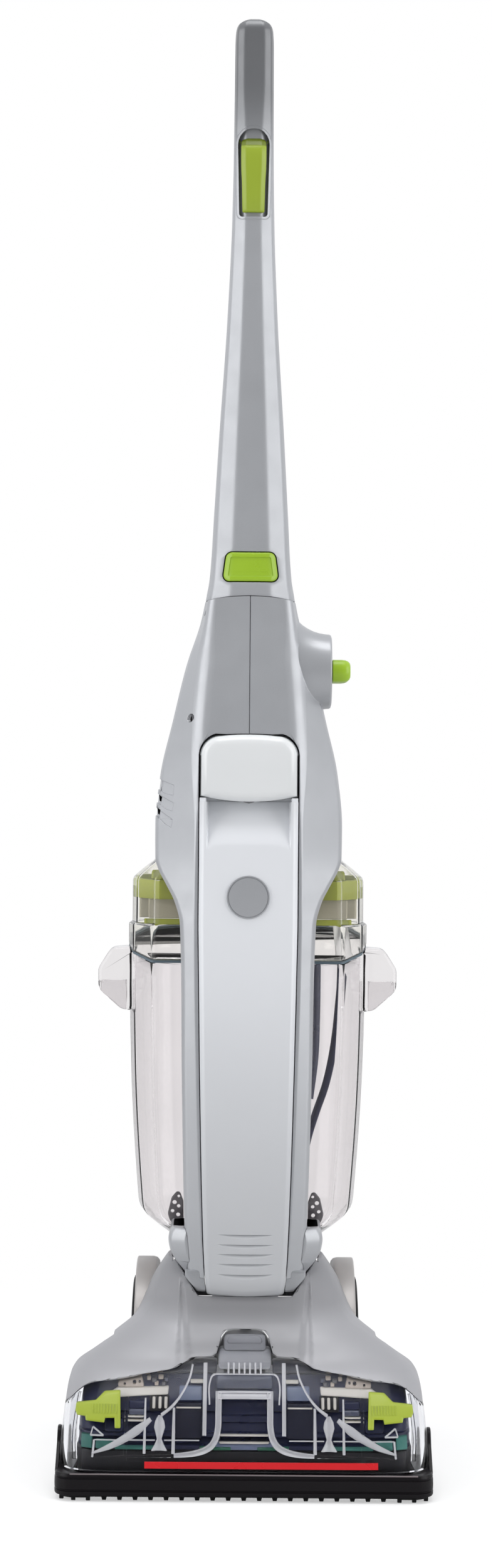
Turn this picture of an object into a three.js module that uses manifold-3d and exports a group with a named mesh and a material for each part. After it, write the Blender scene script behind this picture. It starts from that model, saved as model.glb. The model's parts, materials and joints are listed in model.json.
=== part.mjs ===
// Upright wet dry floor scrubber: foot with spin brushes, reclining body, two lift-out tanks and a handle.
// Millimetres, +Z up, +X to the machine's left-hand side as seen by its user, -Y ahead of the nozzle.
import * as THREE from "three";
import { mergeVertices } from "three/addons/utils/BufferGeometryUtils.js";
import Module from "manifold-3d";

const wasm = await Module();
wasm.setup();

// ---------------------------------------------------------------- driving dimensions
const HEIGHT = 1150; // floor to the top of the grip
const GAP = 0.3; // between neighbours that sit on each other
const WALL = 2.6; // moulded shells
const BEYOND = 400; // past any piece, for cutting tools

// Foot
const NOZZLE_HALF = 140; // half the width of the clear nozzle cover
const NOZZLE_FRONT = -150; // foremost point of the cover
const COVER_BASE = 22.4; // underside of the cover
const FOOT_SHELL = 3.4; // horizontal wall of hood and cover
const SUCTION_PASSAGE = 8; // between the cover and the dark panel under it
const NOZZLE_REAR = -52; // back edge of the nozzle box
const HOOD_TOP = 162;
const HOOD_SEAT = 134.4; // recess in the hood under the tank
const TAB_HALF = 20.5; // raised centre tab of the cover
const TAB_TOP = 114;
const DECK_TOP = 34.5; // chassis
const DECK_THICK = 3.5;
const CHASSIS_BASE = 8;
const BUMPER_BASE = 4;
const BUMPER_TOP = 21;
const BUMPER_OUT = 3.3; // bumper proud of the cover at the sides
const BUMPER_ARM_TOP = 46;
const SQUEEGEE_THICK = 2.5;
const FRINGE_PITCH = 11.7;

// Brushes
const BRUSHES = 6;
const BRUSH_SIDE_GAP = 1; // between the outer brushes and the chassis walls
const BRUSH_END_GAPS = 11; // before and behind the brush row and its pinion
const BRUSH_TEETH = 16;
const PINION_TEETH = 8;
const PRESSURE_ANGLE = THREE.MathUtils.degToRad(25);
const BACKLASH = 0.5;
const BRISTLE_TOP = 16;
const RIM_THICK = 6;
const STUB_RADIUS = 4;
const CARRIAGE_THICK = 3.4;

// Wheels and pivot
const AXLE = { y: 40, z: 68.5, radius: 4, half: 96 };
const TYRE_RADIUS = 68.5; // the tyre touches the floor
const TYRE_WALL = 8.5;
const WHEEL_INNER = 72.6;
const WHEEL_WIDTH = 19;
const FENDER = { inner: 69.9, outer: 88.5, radius: 82.5, wall: 2.8, disc: 2, dip: 0.35 };
const YOKE_HALF = 57;
const YOKE_COLLAR_HALF = 61.5;
const YOKE_ARM = 10;
const YOKE_TOP = 188;
const DRUM_RADIUS = 17;

// Body
const HANDLE_SEAM = 691; // joint between housing and handle
const SEAM_HALF = 35.4;
const SHOULDER_HALF = 75;
const SHOULDER_FRONT = -55;
const SHOULDER_REAR = 82;
const HOUSING_BASE = 480; // underside of the motor housing
const RAIL_TOP = 429; // where the shoulders have run into the rails
const COLUMN_BASE = 150;
const COLUMN_BACK = 8;
const SPLIT_GAP = 0.5; // seam between the housing halves
const MOTOR = { y: 33, radius: 36, base: 500, top: 562 };
// The dial's face stands proud of the housing, measured at the face's lower rim.
const DIAL = { z: 631, proud: 6.8, faceRadius: 30, footRadius: 41 };
const KNOB = { length: 46, height: 18, proud: 14.8 };

// Clean solution tank
const TANK_FRONT = -60;
const TANK_BACK = -10;
const TANK_BASE = 138;
const TANK_TOP = 526;
const CAP_TOP = 579;
const CAP_HALF = 38;
const TANK_FIT = 1.6; // between the tank and the rails beside it
const FINGER_RECESS = { half: 33, depth: 15, height: 33 };
const BADGE = { z: 451, radius: 17, thick: 1.2 };

// Recovery tank
const RECOVERY_FRONT = 12;
const RECOVERY_REAR = 126;
const RECOVERY_HALF = 98.7;
const RECOVERY_BASE = 166;
const LID_TOP = 479;
const GASKET = { frontZ: 394, slope: 0.21, thick: 2.4, width: 5 };
const EAR = { reach: 24.3, low: 353, high: 408, tip: 371, tipTop: 393, y: 60, half: 15 };
const RECOVERY_WALL = 2.4;

// Handle
const GRIP_LENGTH = 154; // the grip keeps its size; the shaft below it takes up the rest of the height
const GRIP_SWEEP = { depth: 25, below: 138, above: 69 }; // forward curve; the grip ends two thirds along it
const TRIGGER = { top: HEIGHT - 88, low: HEIGHT - 152, half: 9.6, pivotZ: HEIGHT - 95, pivotY: -9.5 };
const TRIGGER_SLOT = { top: HEIGHT - 84, low: HEIGHT - 157, half: 12.9 };
const BUTTON = { low: HANDLE_SEAM + 11, high: HANDLE_SEAM + 34, lowHalf: 22.4, highHalf: 19.3, back: -13 };
const TONGUE = { half: 22, front: -12, rear: 14, base: HANDLE_SEAM - 46 };
const ROD = { x: 5.5, y: 6, radius: 1.7, base: 600 };
const UPPER_HOOK = { share: 0.62, radius: 11 }; // its place as a share of the shaft

// ---------------------------------------------------------------- finishes
const finish = (color, roughness, metalness = 0, opacity = 1) => () =>
  new THREE.MeshStandardMaterial({ color, roughness, metalness, opacity, transparent: opacity < 1 });
const silver = finish(0xb4b6ba, 0.38, 0.35);
const hoodGrey = finish(0xa8a8ac, 0.42, 0.2);
const darkGrey = finish(0x77777a, 0.6);
const white = finish(0xeceded, 0.3);
const green = finish(0x9fc32f, 0.4);
const black = finish(0x262427, 0.55);
const navy = finish(0x20252e, 0.5);
const rubber = finish(0x1b1b1c, 0.9);
const clear = finish(0xd9dde0, 0.08, 0, 0.35);
const bristle = finish(0xc9d2d8, 0.8);
const steel = finish(0x9fa3a8, 0.3, 0.9);

// ---------------------------------------------------------------- solids
function solidOf(geometry) {
  const bare = geometry.index ? geometry.toNonIndexed() : geometry.clone();
  bare.deleteAttribute("normal");
  bare.deleteAttribute("uv");
  const merged = mergeVertices(bare, 1e-4);
  const corners = merged.index.array;
  const position = merged.attributes.position;
  const triVerts = [];
  let volume = 0;
  const [a, b, c] = [0, 1, 2].map(() => new THREE.Vector3());
  for (let i = 0; i < corners.length; i += 3) {
    const [p, q, r] = [corners[i], corners[i + 1], corners[i + 2]];
    if (p === q || q === r || r === p) continue;
    triVerts.push(p, q, r);
    a.fromBufferAttribute(position, p);
    b.fromBufferAttribute(position, q);
    c.fromBufferAttribute(position, r);
    volume += a.dot(b.cross(c));
  }
  if (volume < 0) triVerts.reverse();
  return new wasm.Manifold(
    new wasm.Mesh({ numProp: 3, vertProperties: position.array, triVerts: new Uint32Array(triVerts) }),
  );
}

function geometryOf(solid) {
  const mesh = solid.getMesh();
  const geometry = new THREE.BufferGeometry();
  geometry.setAttribute("position", new THREE.BufferAttribute(mesh.vertProperties, 3));
  geometry.setIndex(new THREE.BufferAttribute(mesh.triVerts, 1));
  geometry.computeVertexNormals();
  return geometry;
}

const join = (...solids) => solids.reduce((whole, next) => whole.add(next));
const cut = (solid, ...tools) => tools.reduce((rest, tool) => rest.subtract(tool), solid);

function box([x0, x1], [y0, y1], [z0, z1]) {
  const geometry = new THREE.BoxGeometry(x1 - x0, y1 - y0, z1 - z0);
  geometry.translate((x0 + x1) / 2, (y0 + y1) / 2, (z0 + z1) / 2);
  return solidOf(geometry);
}

// A closed outline from corner points, each corner rounded by its radius or by the common one.
function outline(points, radius = 0) {
  const corners = points.map(([u, v]) => new THREE.Vector2(u, v));
  const shape = new THREE.Shape();
  corners.forEach((corner, i) => {
    const before = corners[(i + corners.length - 1) % corners.length];
    const after = corners[(i + 1) % corners.length];
    const r = Math.min(points[i][2] ?? radius, corner.distanceTo(before) / 2, corner.distanceTo(after) / 2);
    const into = corner.clone().add(before.clone().sub(corner).setLength(r));
    const out = corner.clone().add(after.clone().sub(corner).setLength(r));
    if (i === 0) shape.moveTo(into.x, into.y);
    else shape.lineTo(into.x, into.y);
    if (r > 0) shape.quadraticCurveTo(corner.x, corner.y, out.x, out.y);
  });
  shape.closePath();
  return shape;
}

// An outline drawn across the named axis, extruded along it: (y,z) for x, (x,z) for y, (x,y) for z.
function prism(shape, axis, [from, to], curveSegments = 4) {
  const geometry = new THREE.ExtrudeGeometry(shape, { depth: to - from, bevelEnabled: false, curveSegments });
  geometry.translate(0, 0, from);
  const turn = new THREE.Matrix4();
  if (axis === "x") turn.set(0, 0, 1, 0, 1, 0, 0, 0, 0, 1, 0, 0, 0, 0, 0, 1);
  if (axis === "y") turn.set(1, 0, 0, 0, 0, 0, 1, 0, 0, 1, 0, 0, 0, 0, 0, 1);
  geometry.applyMatrix4(turn);
  return solidOf(geometry);
}

// A profile of [radius, height] turned about the named axis through `at`.
function lathe(profile, segments, axis = "z", at = [0, 0, 0]) {
  const geometry = new THREE.LatheGeometry(
    profile.map(([r, h]) => new THREE.Vector2(r, h)),
    segments,
  );
  if (axis === "z") geometry.rotateX(Math.PI / 2);
  if (axis === "x") geometry.rotateZ(-Math.PI / 2);
  geometry.translate(...at);
  return solidOf(geometry);
}

const rod = (radius, [from, to], segments, axis, at) =>
  lathe(
    [
      [0, from],
      [radius, from],
      [radius, to],
      [0, to],
    ],
    segments,
    axis,
    at,
  );

const ring = (inner, outer, [from, to], segments, axis, at) =>
  lathe(
    [
      [inner, from],
      [outer, from],
      [outer, to],
      [inner, to],
      [inner, from],
    ],
    segments,
    axis,
    at,
  );

function tube(points, radius, sides, steps) {
  const curve = new THREE.CatmullRomCurve3(points.map((p) => new THREE.Vector3(...p)));
  const section = new THREE.Shape().absarc(0, 0, radius, 0, 2 * Math.PI);
  const settings = { steps, extrudePath: curve, bevelEnabled: false, curveSegments: sides };
  return solidOf(new THREE.ExtrudeGeometry(section, settings));
}

// A skin through level rings with equal point counts, listed from the lowest up, each counter-clockwise.
function loft(rings) {
  const count = rings[0].length;
  const index = [];
  for (let r = 0; r + 1 < rings.length; r++) {
    for (let i = 0; i < count; i++) {
      const [a, b] = [r * count + i, r * count + ((i + 1) % count)];
      index.push(a, b, b + count, a, b + count, a + count);
    }
  }
  const flat = (level) => level.map((p) => new THREE.Vector2(p.x, p.y));
  const last = (rings.length - 1) * count;
  for (const [a, b, c] of THREE.ShapeUtils.triangulateShape(flat(rings[0]), [])) index.push(a, c, b);
  for (const [a, b, c] of THREE.ShapeUtils.triangulateShape(flat(rings.at(-1)), []))
    index.push(last + a, last + b, last + c);
  const positions = rings.flat().flatMap((p) => [p.x, p.y, p.z]);
  const geometry = new THREE.BufferGeometry();
  geometry.setAttribute("position", new THREE.Float32BufferAttribute(positions, 3));
  geometry.setIndex(index);
  return solidOf(geometry);
}

const signedPower = (value, exponent) => Math.sign(value) * Math.abs(value) ** exponent;

// A level superellipse: widest at `middle`, reaching `front` and `rear`; power 2 is round, 8 nearly square.
function superRing({ z, half, front, rear, middle, power, count = 24 }) {
  return Array.from({ length: count }, (_, i) => {
    const angle = (2 * Math.PI * (i + 0.5)) / count;
    const across = signedPower(Math.cos(angle), 2 / power);
    const along = signedPower(Math.sin(angle), 2 / power);
    return new THREE.Vector3(half * across, middle + along * (along > 0 ? rear - middle : middle - front), z);
  });
}

const INSIDE_FACETS = 12; // hidden inner walls are coarser than the outside
const mirrored = (points) => [...points, ...points.map(([x, z]) => [-x, z]).reverse()];
const mix = THREE.MathUtils.lerp;

const pieces = { root: new THREE.Group() };
for (const body of ["foot", "cover", "upright", "solution", "recovery", "handle"]) {
  pieces[body] = new THREE.Group();
  pieces.root.add(pieces[body]);
}

function add(body, name, solid, material) {
  const mesh = new THREE.Mesh(geometryOf(solid), material());
  mesh.name = name;
  pieces[body].add(mesh);
  return solid;
}

const SIDES = [
  ["left", -1],
  ["right", 1],
];

// ---------------------------------------------------------------- foot: hood and nozzle cover
const FOOT_MIDDLE = -70; // ahead of here the sides of the nozzle round towards its front
// Stations of the foot's skin: height, half-width and front as shares of the nozzle box, then shape.
const FOOT_STATIONS = [
  { z: COVER_BASE - 2, wide: 1.0, ahead: 1.0, middle: FOOT_MIDDLE, power: 8 },
  { z: 45, wide: 0.997, ahead: 0.92, middle: FOOT_MIDDLE, power: 8 },
  { z: 66, wide: 0.986, ahead: 0.82, middle: FOOT_MIDDLE, power: 7 },
  { z: 77, wide: 0.974, ahead: 0.75, middle: -66, power: 6 },
  { z: 86, wide: 0.94, ahead: 0.69, middle: -60, power: 4.6 },
  { z: 96, wide: 0.843, ahead: 0.6, middle: -54, power: 3.6 },
  { z: 108, wide: 0.721, ahead: 0.53, middle: -44, power: 3 },
  { z: 119, wide: 0.621, ahead: 0.46, middle: -34, power: 2.8 },
  { z: 132, wide: 0.571, ahead: 0.4, middle: -22, power: 2.8 },
  { z: 145, wide: 0.529, ahead: 0.33, middle: -12, power: 3 },
  { z: HOOD_TOP, wide: 0.443, ahead: 0.2, middle: 0, power: 4 },
];
const HOOD_REAR = 22;

const footSkin = (grow, rear = HOOD_REAR) =>
  loft(
    FOOT_STATIONS.map(({ z, wide, ahead, middle, power }) =>
      superRing({
        z,
        half: NOZZLE_HALF * wide + grow,
        front: NOZZLE_FRONT * ahead - grow,
        rear,
        middle,
        power,
      }),
    ),
  );

// Where hood and cover meet, seen from ahead: a raised tab, a level middle, then a fall to the sides.
const seamLine = (shift, aside) => [
  [NOZZLE_HALF + 20, 60 + shift],
  [NOZZLE_HALF - 2, 64 + shift],
  [NOZZLE_HALF - 10, 72 + shift],
  [NOZZLE_HALF - 21, 76 + shift],
  [NOZZLE_HALF - 41, 81 + shift],
  [NOZZLE_HALF - 68, 85.5 + shift],
  [NOZZLE_HALF - 82, 89 + shift],
  [42, 96.5 + shift],
  [TAB_HALF + aside, 96.5 + shift],
  [TAB_HALF + aside, TAB_TOP + shift],
];
const SEAM_GAP = 0.5;
const belowSeam = prism(
  outline([[-NOZZLE_HALF - 20, 0], [NOZZLE_HALF + 20, 0], ...mirrored(seamLine(0, 0))]),
  "y",
  [-BEYOND, NOZZLE_REAR],
);
const belowHood = prism(
  outline([[-NOZZLE_HALF - 20, 0], [NOZZLE_HALF + 20, 0], ...mirrored(seamLine(SEAM_GAP, SEAM_GAP))]),
  "y",
  [-BEYOND, BEYOND],
);

const FENDER_CLEAR = FENDER.radius + 1.5;
const behindNozzle = SIDES.map(([, side]) => {
  const [near, far] = [FENDER.inner - 1, BEYOND];
  const span = side > 0 ? [near, far] : [-far, -near];
  return join(
    rod(FENDER_CLEAR, span, 40, "x", [0, AXLE.y, AXLE.z]),
    box(span, [NOZZLE_REAR, BEYOND], [0, 106]),
  );
});

const hoodShell = cut(footSkin(0), footSkin(-FOOT_SHELL, HOOD_REAR + 20));
const hoodRoof = footSkin(0).intersect(
  box([-YOKE_HALF - 3, YOKE_HALF + 3], [-BEYOND, -26], [HOOD_SEAT - 3, HOOD_SEAT]),
);
const FLUTE = { top: 148, low: 84, deep: 1.4 };
const flutes = SIDES.map(([, side]) => {
  const face = [
    [side * 43.5, FLUTE.top],
    [side * 48, FLUTE.low],
    [side * 35, FLUTE.low],
  ];
  return prism(outline(face), "y", [-BEYOND, -30]);
});
const fluteDepth = cut(footSkin(2), footSkin(-FLUTE.deep));
const yokeSlot = YOKE_HALF + 0.5;
add(
  "foot",
  "hood",
  cut(
    join(hoodShell, hoodRoof),
    ...flutes.map((flute) => flute.intersect(fluteDepth)),
    belowHood,
    ...behindNozzle,
    box([-yokeSlot, yokeSlot], [-BEYOND, BEYOND], [HOOD_SEAT, BEYOND]),
    box([-yokeSlot, yokeSlot], [-26, BEYOND], [0, BEYOND]),
    box([-BEYOND, BEYOND], [HOOD_REAR - 1, BEYOND], [0, BEYOND]),
  ),
  hoodGrey,
);

const LATCH = { inner: 93.6, outer: 129, low: 51.6, high: 76.5, step: 57, travel: 6, thick: 3 };
const latchSpan = (side, a, b) => (side > 0 ? [a, b] : [-b, -a]);
const TONGUE_Z = [60, 66];
const latchTongue = (side, extra) =>
  box(latchSpan(side, 108 - extra, 114 + extra + (extra ? LATCH.travel : 0)), [NOZZLE_FRONT, -100], [
    TONGUE_Z[0] - extra,
    TONGUE_Z[1] + extra,
  ]);

add(
  "cover",
  "nozzle_cover",
  cut(
    cut(footSkin(0), footSkin(-FOOT_SHELL, HOOD_REAR + 20))
      .intersect(belowSeam)
      .intersect(box([-BEYOND, BEYOND], [-BEYOND, NOZZLE_REAR], [COVER_BASE, BEYOND])),
    ...SIDES.map(([, side]) => latchTongue(side, 1)),
  ),
  clear,
);

for (const [name, side] of SIDES) {
  const face = outline(
    [
      [side * LATCH.inner, LATCH.low],
      [side * (LATCH.inner + 9), LATCH.low],
      [side * (LATCH.inner + 12), LATCH.step],
      [side * LATCH.outer, LATCH.step + 2],
      [side * LATCH.outer, 67],
      [side * (LATCH.outer - 10), 70],
      [side * (LATCH.inner + 2), LATCH.high],
    ],
    2,
  );
  const plate = cut(footSkin(LATCH.thick + GAP), footSkin(GAP)).intersect(prism(face, "y", [-BEYOND, -90]));
  const tongue = cut(latchTongue(side, 0).intersect(footSkin(LATCH.thick)), footSkin(-FOOT_SHELL - 3));
  add("cover", `cover_latch_${name}`, join(plate, tongue), green);
}

// Dark panel under the cover: the floor of the suction passage, standing on the deck.
const PANEL_IN = FOOT_SHELL + SUCTION_PASSAGE;
const PANEL_TOP = 84;
const panelBand = (grow, [low, high]) =>
  footSkin(-PANEL_IN + grow, HOOD_REAR).intersect(box([-BEYOND, BEYOND], [-BEYOND, -57], [low, high]));
add(
  "foot",
  "inner_panel",
  cut(
    panelBand(0, [DECK_TOP + GAP, PANEL_TOP]),
    panelBand(-WALL, [0, PANEL_TOP - WALL]).add(
      box([-BEYOND, BEYOND], [-70, -50], [0, PANEL_TOP - WALL]).intersect(footSkin(-PANEL_IN - WALL)),
    ),
  ),
  navy,
);

// ---------------------------------------------------------------- foot: chassis, bumper, squeegees
const CHASSIS_HALF = NOZZLE_HALF - 11;
const CHASSIS_FRONT = NOZZLE_FRONT + 14;
const CHASSIS_REAR = -54;
const CHASSIS_CORNER = 0.3 * (FOOT_MIDDLE - NOZZLE_FRONT);
const rectangle = (half, front, rear, radius) =>
  outline(
    [
      [-half, front],
      [half, front],
      [half, rear],
      [-half, rear],
    ],
    radius,
  );
const ADDENDUM = 0.8; // in modules
const DEDENDUM = 1.15;
const rowAllowance = (2 * ADDENDUM) / BRUSH_TEETH; // the outermost teeth, as a share of one pitch
const pinionShare = PINION_TEETH / BRUSH_TEETH;
const ROW_DEPTH = 1 + pinionShare + rowAllowance; // of brushes and pinion together, in pitches
const TRAY_DEPTH = CHASSIS_REAR - CHASSIS_FRONT - 2 * WALL;
const BRUSH_PITCH = Math.min(
  (2 * (CHASSIS_HALF - WALL - BRUSH_SIDE_GAP)) / (BRUSHES + rowAllowance),
  (TRAY_DEPTH - BRUSH_END_GAPS) / ROW_DEPTH,
);
const brushX = (i) => (i - (BRUSHES - 1) / 2) * BRUSH_PITCH;
const PINION = {
  x: brushX(3),
  y: CHASSIS_REAR - WALL - 0.56 * BRUSH_END_GAPS - (BRUSH_PITCH / 2) * (pinionShare + rowAllowance),
};
const BRUSH_ROW = PINION.y - (BRUSH_PITCH / 2) * (1 + pinionShare);
const CHASSIS_ARM = [YOKE_HALF + 4, FENDER.inner - GAP];
const armProfile = outline([
  [CHASSIS_REAR - 2, 24],
  [AXLE.y, 40],
  [AXLE.y + 18, 56],
  [AXLE.y + 18, AXLE.z + 12],
  [AXLE.y + 8, AXLE.z + 20],
  [AXLE.y - 12, AXLE.z + 20],
  [CHASSIS_REAR - 2, DECK_TOP],
]);
const trayInside = rectangle(
  CHASSIS_HALF - WALL,
  CHASSIS_FRONT + WALL,
  CHASSIS_REAR - WALL,
  CHASSIS_CORNER - WALL,
);
const chassisTray = cut(
  prism(rectangle(CHASSIS_HALF, CHASSIS_FRONT, CHASSIS_REAR, CHASSIS_CORNER), "z", [CHASSIS_BASE, DECK_TOP]),
  prism(trayInside, "z", [
    0,
    DECK_TOP - DECK_THICK,
  ]),
);
add(
  "foot",
  "chassis",
  cut(
    join(
      chassisTray,
      ...SIDES.map(([, side]) => prism(armProfile, "x", latchSpan(side, ...CHASSIS_ARM))),
      box([-CHASSIS_ARM[1], CHASSIS_ARM[1]], [CHASSIS_REAR - 2, 12], [24, 28]),
    ),
    rod(AXLE.radius + GAP, [-BEYOND, BEYOND], 12, "x", [0, AXLE.y, AXLE.z]),
    rod(STUB_RADIUS + 1, [0, 60], 8, "z", [PINION.x, PINION.y, 0]),
  ),
  black,
);

const BUMPER_HALF = NOZZLE_HALF + BUMPER_OUT;
const BUMPER_FRONT = NOZZLE_FRONT - 1.5;
const BUMPER_ARM_REAR = BUMPER_FRONT + 66;
const bumperBand = cut(
  prism(rectangle(BUMPER_HALF, BUMPER_FRONT, BUMPER_ARM_REAR, 14), "z", [BUMPER_BASE, BUMPER_TOP]),
  prism(rectangle(CHASSIS_HALF + GAP, BUMPER_FRONT + 5.5, 0, 9), "z", [0, 60]),
);
const bumperWing = outline([
  [BUMPER_FRONT + 18, BUMPER_TOP - 2],
  [BUMPER_ARM_REAR - 8, BUMPER_TOP - 2],
  [BUMPER_ARM_REAR - 8, BUMPER_ARM_TOP],
  [BUMPER_ARM_REAR - 22, BUMPER_ARM_TOP],
]);
add(
  "foot",
  "bumper",
  join(
    bumperBand,
    ...SIDES.map(([, side]) => prism(bumperWing, "x", latchSpan(side, NOZZLE_HALF + 0.4, BUMPER_HALF))),
  ),
  black,
);

const fringeHalf = NOZZLE_HALF - 24;
const fringeTeeth = Math.floor((2 * fringeHalf) / FRINGE_PITCH);
const fringeProfile = [
  [fringeHalf, BUMPER_TOP - 3],
  [-fringeHalf, BUMPER_TOP - 3],
];
for (let i = 0; i < fringeTeeth; i++) {
  const x = (i - (fringeTeeth - 1) / 2) * FRINGE_PITCH;
  fringeProfile.push([x - 4, 4], [x - 3, 0], [x + 3, 0], [x + 4, 4]);
}
add(
  "foot",
  "front_squeegee",
  prism(outline(fringeProfile), "y", [BUMPER_FRONT + 5.5 + GAP, BUMPER_FRONT + 5.5 + GAP + SQUEEGEE_THICK]),
  rubber,
);
add(
  "foot",
  "rear_squeegee",
  box([-fringeHalf, fringeHalf], [CHASSIS_REAR + GAP, CHASSIS_REAR + GAP + SQUEEGEE_THICK], [0, 22]),
  rubber,
);

// ---------------------------------------------------------------- foot: spin brushes and their drive
const involute = (angle) => Math.tan(angle) - angle;

// Half the angle that a tooth takes up at a radius, from its thickness at the pitch circle.
function toothHalfAngle(teeth, pitchRadius, radius) {
  const baseRadius = pitchRadius * Math.cos(PRESSURE_ANGLE);
  const slope = Math.acos(Math.min(1, baseRadius / radius));
  const atPitch = Math.PI / (2 * teeth) - BACKLASH / (2 * pitchRadius);
  return atPitch + involute(PRESSURE_ANGLE) - involute(slope);
}

function gearOutline(teeth, turn) {
  const pitchRadius = (BRUSH_PITCH / 2) * (teeth / BRUSH_TEETH);
  const module = BRUSH_PITCH / BRUSH_TEETH;
  const radii = [pitchRadius - DEDENDUM * module, pitchRadius + ADDENDUM * module];
  const points = [];
  for (let tooth = 0; tooth < teeth; tooth++) {
    const middle = turn + (2 * Math.PI * tooth) / teeth;
    const flank = radii.map((radius) => [radius, toothHalfAngle(teeth, pitchRadius, radius)]);
    for (const [radius, half] of flank)
      points.push([radius * Math.cos(middle - half), radius * Math.sin(middle - half)]);
    for (const [radius, half] of flank.reverse())
      points.push([radius * Math.cos(middle + half), radius * Math.sin(middle + half)]);
  }
  return outline(points);
}

const RIM = [BRISTLE_TOP, BRISTLE_TOP + RIM_THICK];
const CARRIAGE = [RIM[1] + 0.6, RIM[1] + 0.6 + CARRIAGE_THICK];
const STUB_HEAD = [CARRIAGE[1] + 0.4, CARRIAGE[1] + 2.4];
const TUFTS = 5;
const TUFT = { circle: 0.305 * BRUSH_PITCH, foot: 0.11 * BRUSH_PITCH, root: 0.088 * BRUSH_PITCH };
for (let i = 0; i < BRUSHES; i++) {
  const turn = i % 2 === 0 ? 0 : Math.PI / BRUSH_TEETH;
  const at = [brushX(i), BRUSH_ROW, 0];
  const rim = prism(gearOutline(BRUSH_TEETH, turn), "z", RIM).translate(at);
  const stub = lathe(
    [
      [0, RIM[1] - 1],
      [STUB_RADIUS, RIM[1] - 1],
      [STUB_RADIUS, STUB_HEAD[0]],
      [STUB_RADIUS + 1.6, STUB_HEAD[0]],
      [STUB_RADIUS + 1.6, STUB_HEAD[1]],
      [0, STUB_HEAD[1]],
    ],
    6,
    "z",
    at,
  );
  const tufts = Array.from({ length: TUFTS }, (_, k) => {
    const angle = (2 * Math.PI * k) / TUFTS;
    const tuft = [
      [0, 0],
      [TUFT.foot, 0],
      [TUFT.root, RIM[0] + 0.5],
      [0, RIM[0] + 0.5],
    ];
    const [x, y] = [TUFT.circle * Math.cos(angle), TUFT.circle * Math.sin(angle)];
    return lathe(tuft, 4, "z", [at[0] + x, at[1] + y, 0]);
  });
  add("foot", `spin_brush_${i + 1}`, join(rim, stub, ...tufts), bristle);
}

const carriageOutline = rectangle(
  CHASSIS_HALF - WALL - GAP,
  CHASSIS_FRONT + WALL + GAP,
  CHASSIS_REAR - WALL - GAP,
  CHASSIS_CORNER,
);
add(
  "foot",
  "brush_carriage",
  cut(
    prism(carriageOutline, "z", CARRIAGE),
    ...Array.from({ length: BRUSHES }, (_, i) =>
      rod(STUB_RADIUS + 0.8, [0, 60], 8, "z", [brushX(i), BRUSH_ROW, 0]),
    ),
    rod(STUB_RADIUS + 1.5, [0, 60], 8, "z", [PINION.x, PINION.y, 0]),
  ),
  black,
);

add(
  "foot",
  "drive_pinion",
  join(
    prism(gearOutline(PINION_TEETH, 0), "z", RIM),
    rod(STUB_RADIUS, [RIM[1] - 1, DECK_TOP + 4], 12, "z"),
  ).translate([PINION.x, PINION.y, 0]),
  steel,
);
const BRUSH_MOTOR_RADIUS = 16;
add(
  "foot",
  "brush_motor",
  lathe(
    [
      [STUB_RADIUS + 0.6, DECK_TOP + GAP],
      [BRUSH_MOTOR_RADIUS, DECK_TOP + GAP],
      [BRUSH_MOTOR_RADIUS, PANEL_TOP - WALL - 4],
      [7, PANEL_TOP - WALL - 2],
      [0, PANEL_TOP - WALL - 2],
      [0, DECK_TOP + 6],
      [STUB_RADIUS + 0.6, DECK_TOP + 6],
      [STUB_RADIUS + 0.6, DECK_TOP + GAP],
    ],
    14,
    "z",
    [PINION.x, PINION.y, 0],
  ),
  steel,
);

// Suction duct from the panel's roof back to the pivot hose.
const DUCT = { half: 17, low: PANEL_TOP + GAP, high: 110, front: NOZZLE_FRONT / 2 - 1, rear: -19 };
add(
  "foot",
  "suction_duct",
  cut(
    box([-DUCT.half, DUCT.half], [DUCT.front, DUCT.rear], [DUCT.low, DUCT.high]).intersect(
      footSkin(-FOOT_SHELL - GAP, BEYOND),
    ),
    box([-DUCT.half + WALL, DUCT.half - WALL], [-BEYOND, BEYOND], [DUCT.low + WALL, DUCT.high - WALL]),
  ),
  navy,
);

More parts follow.
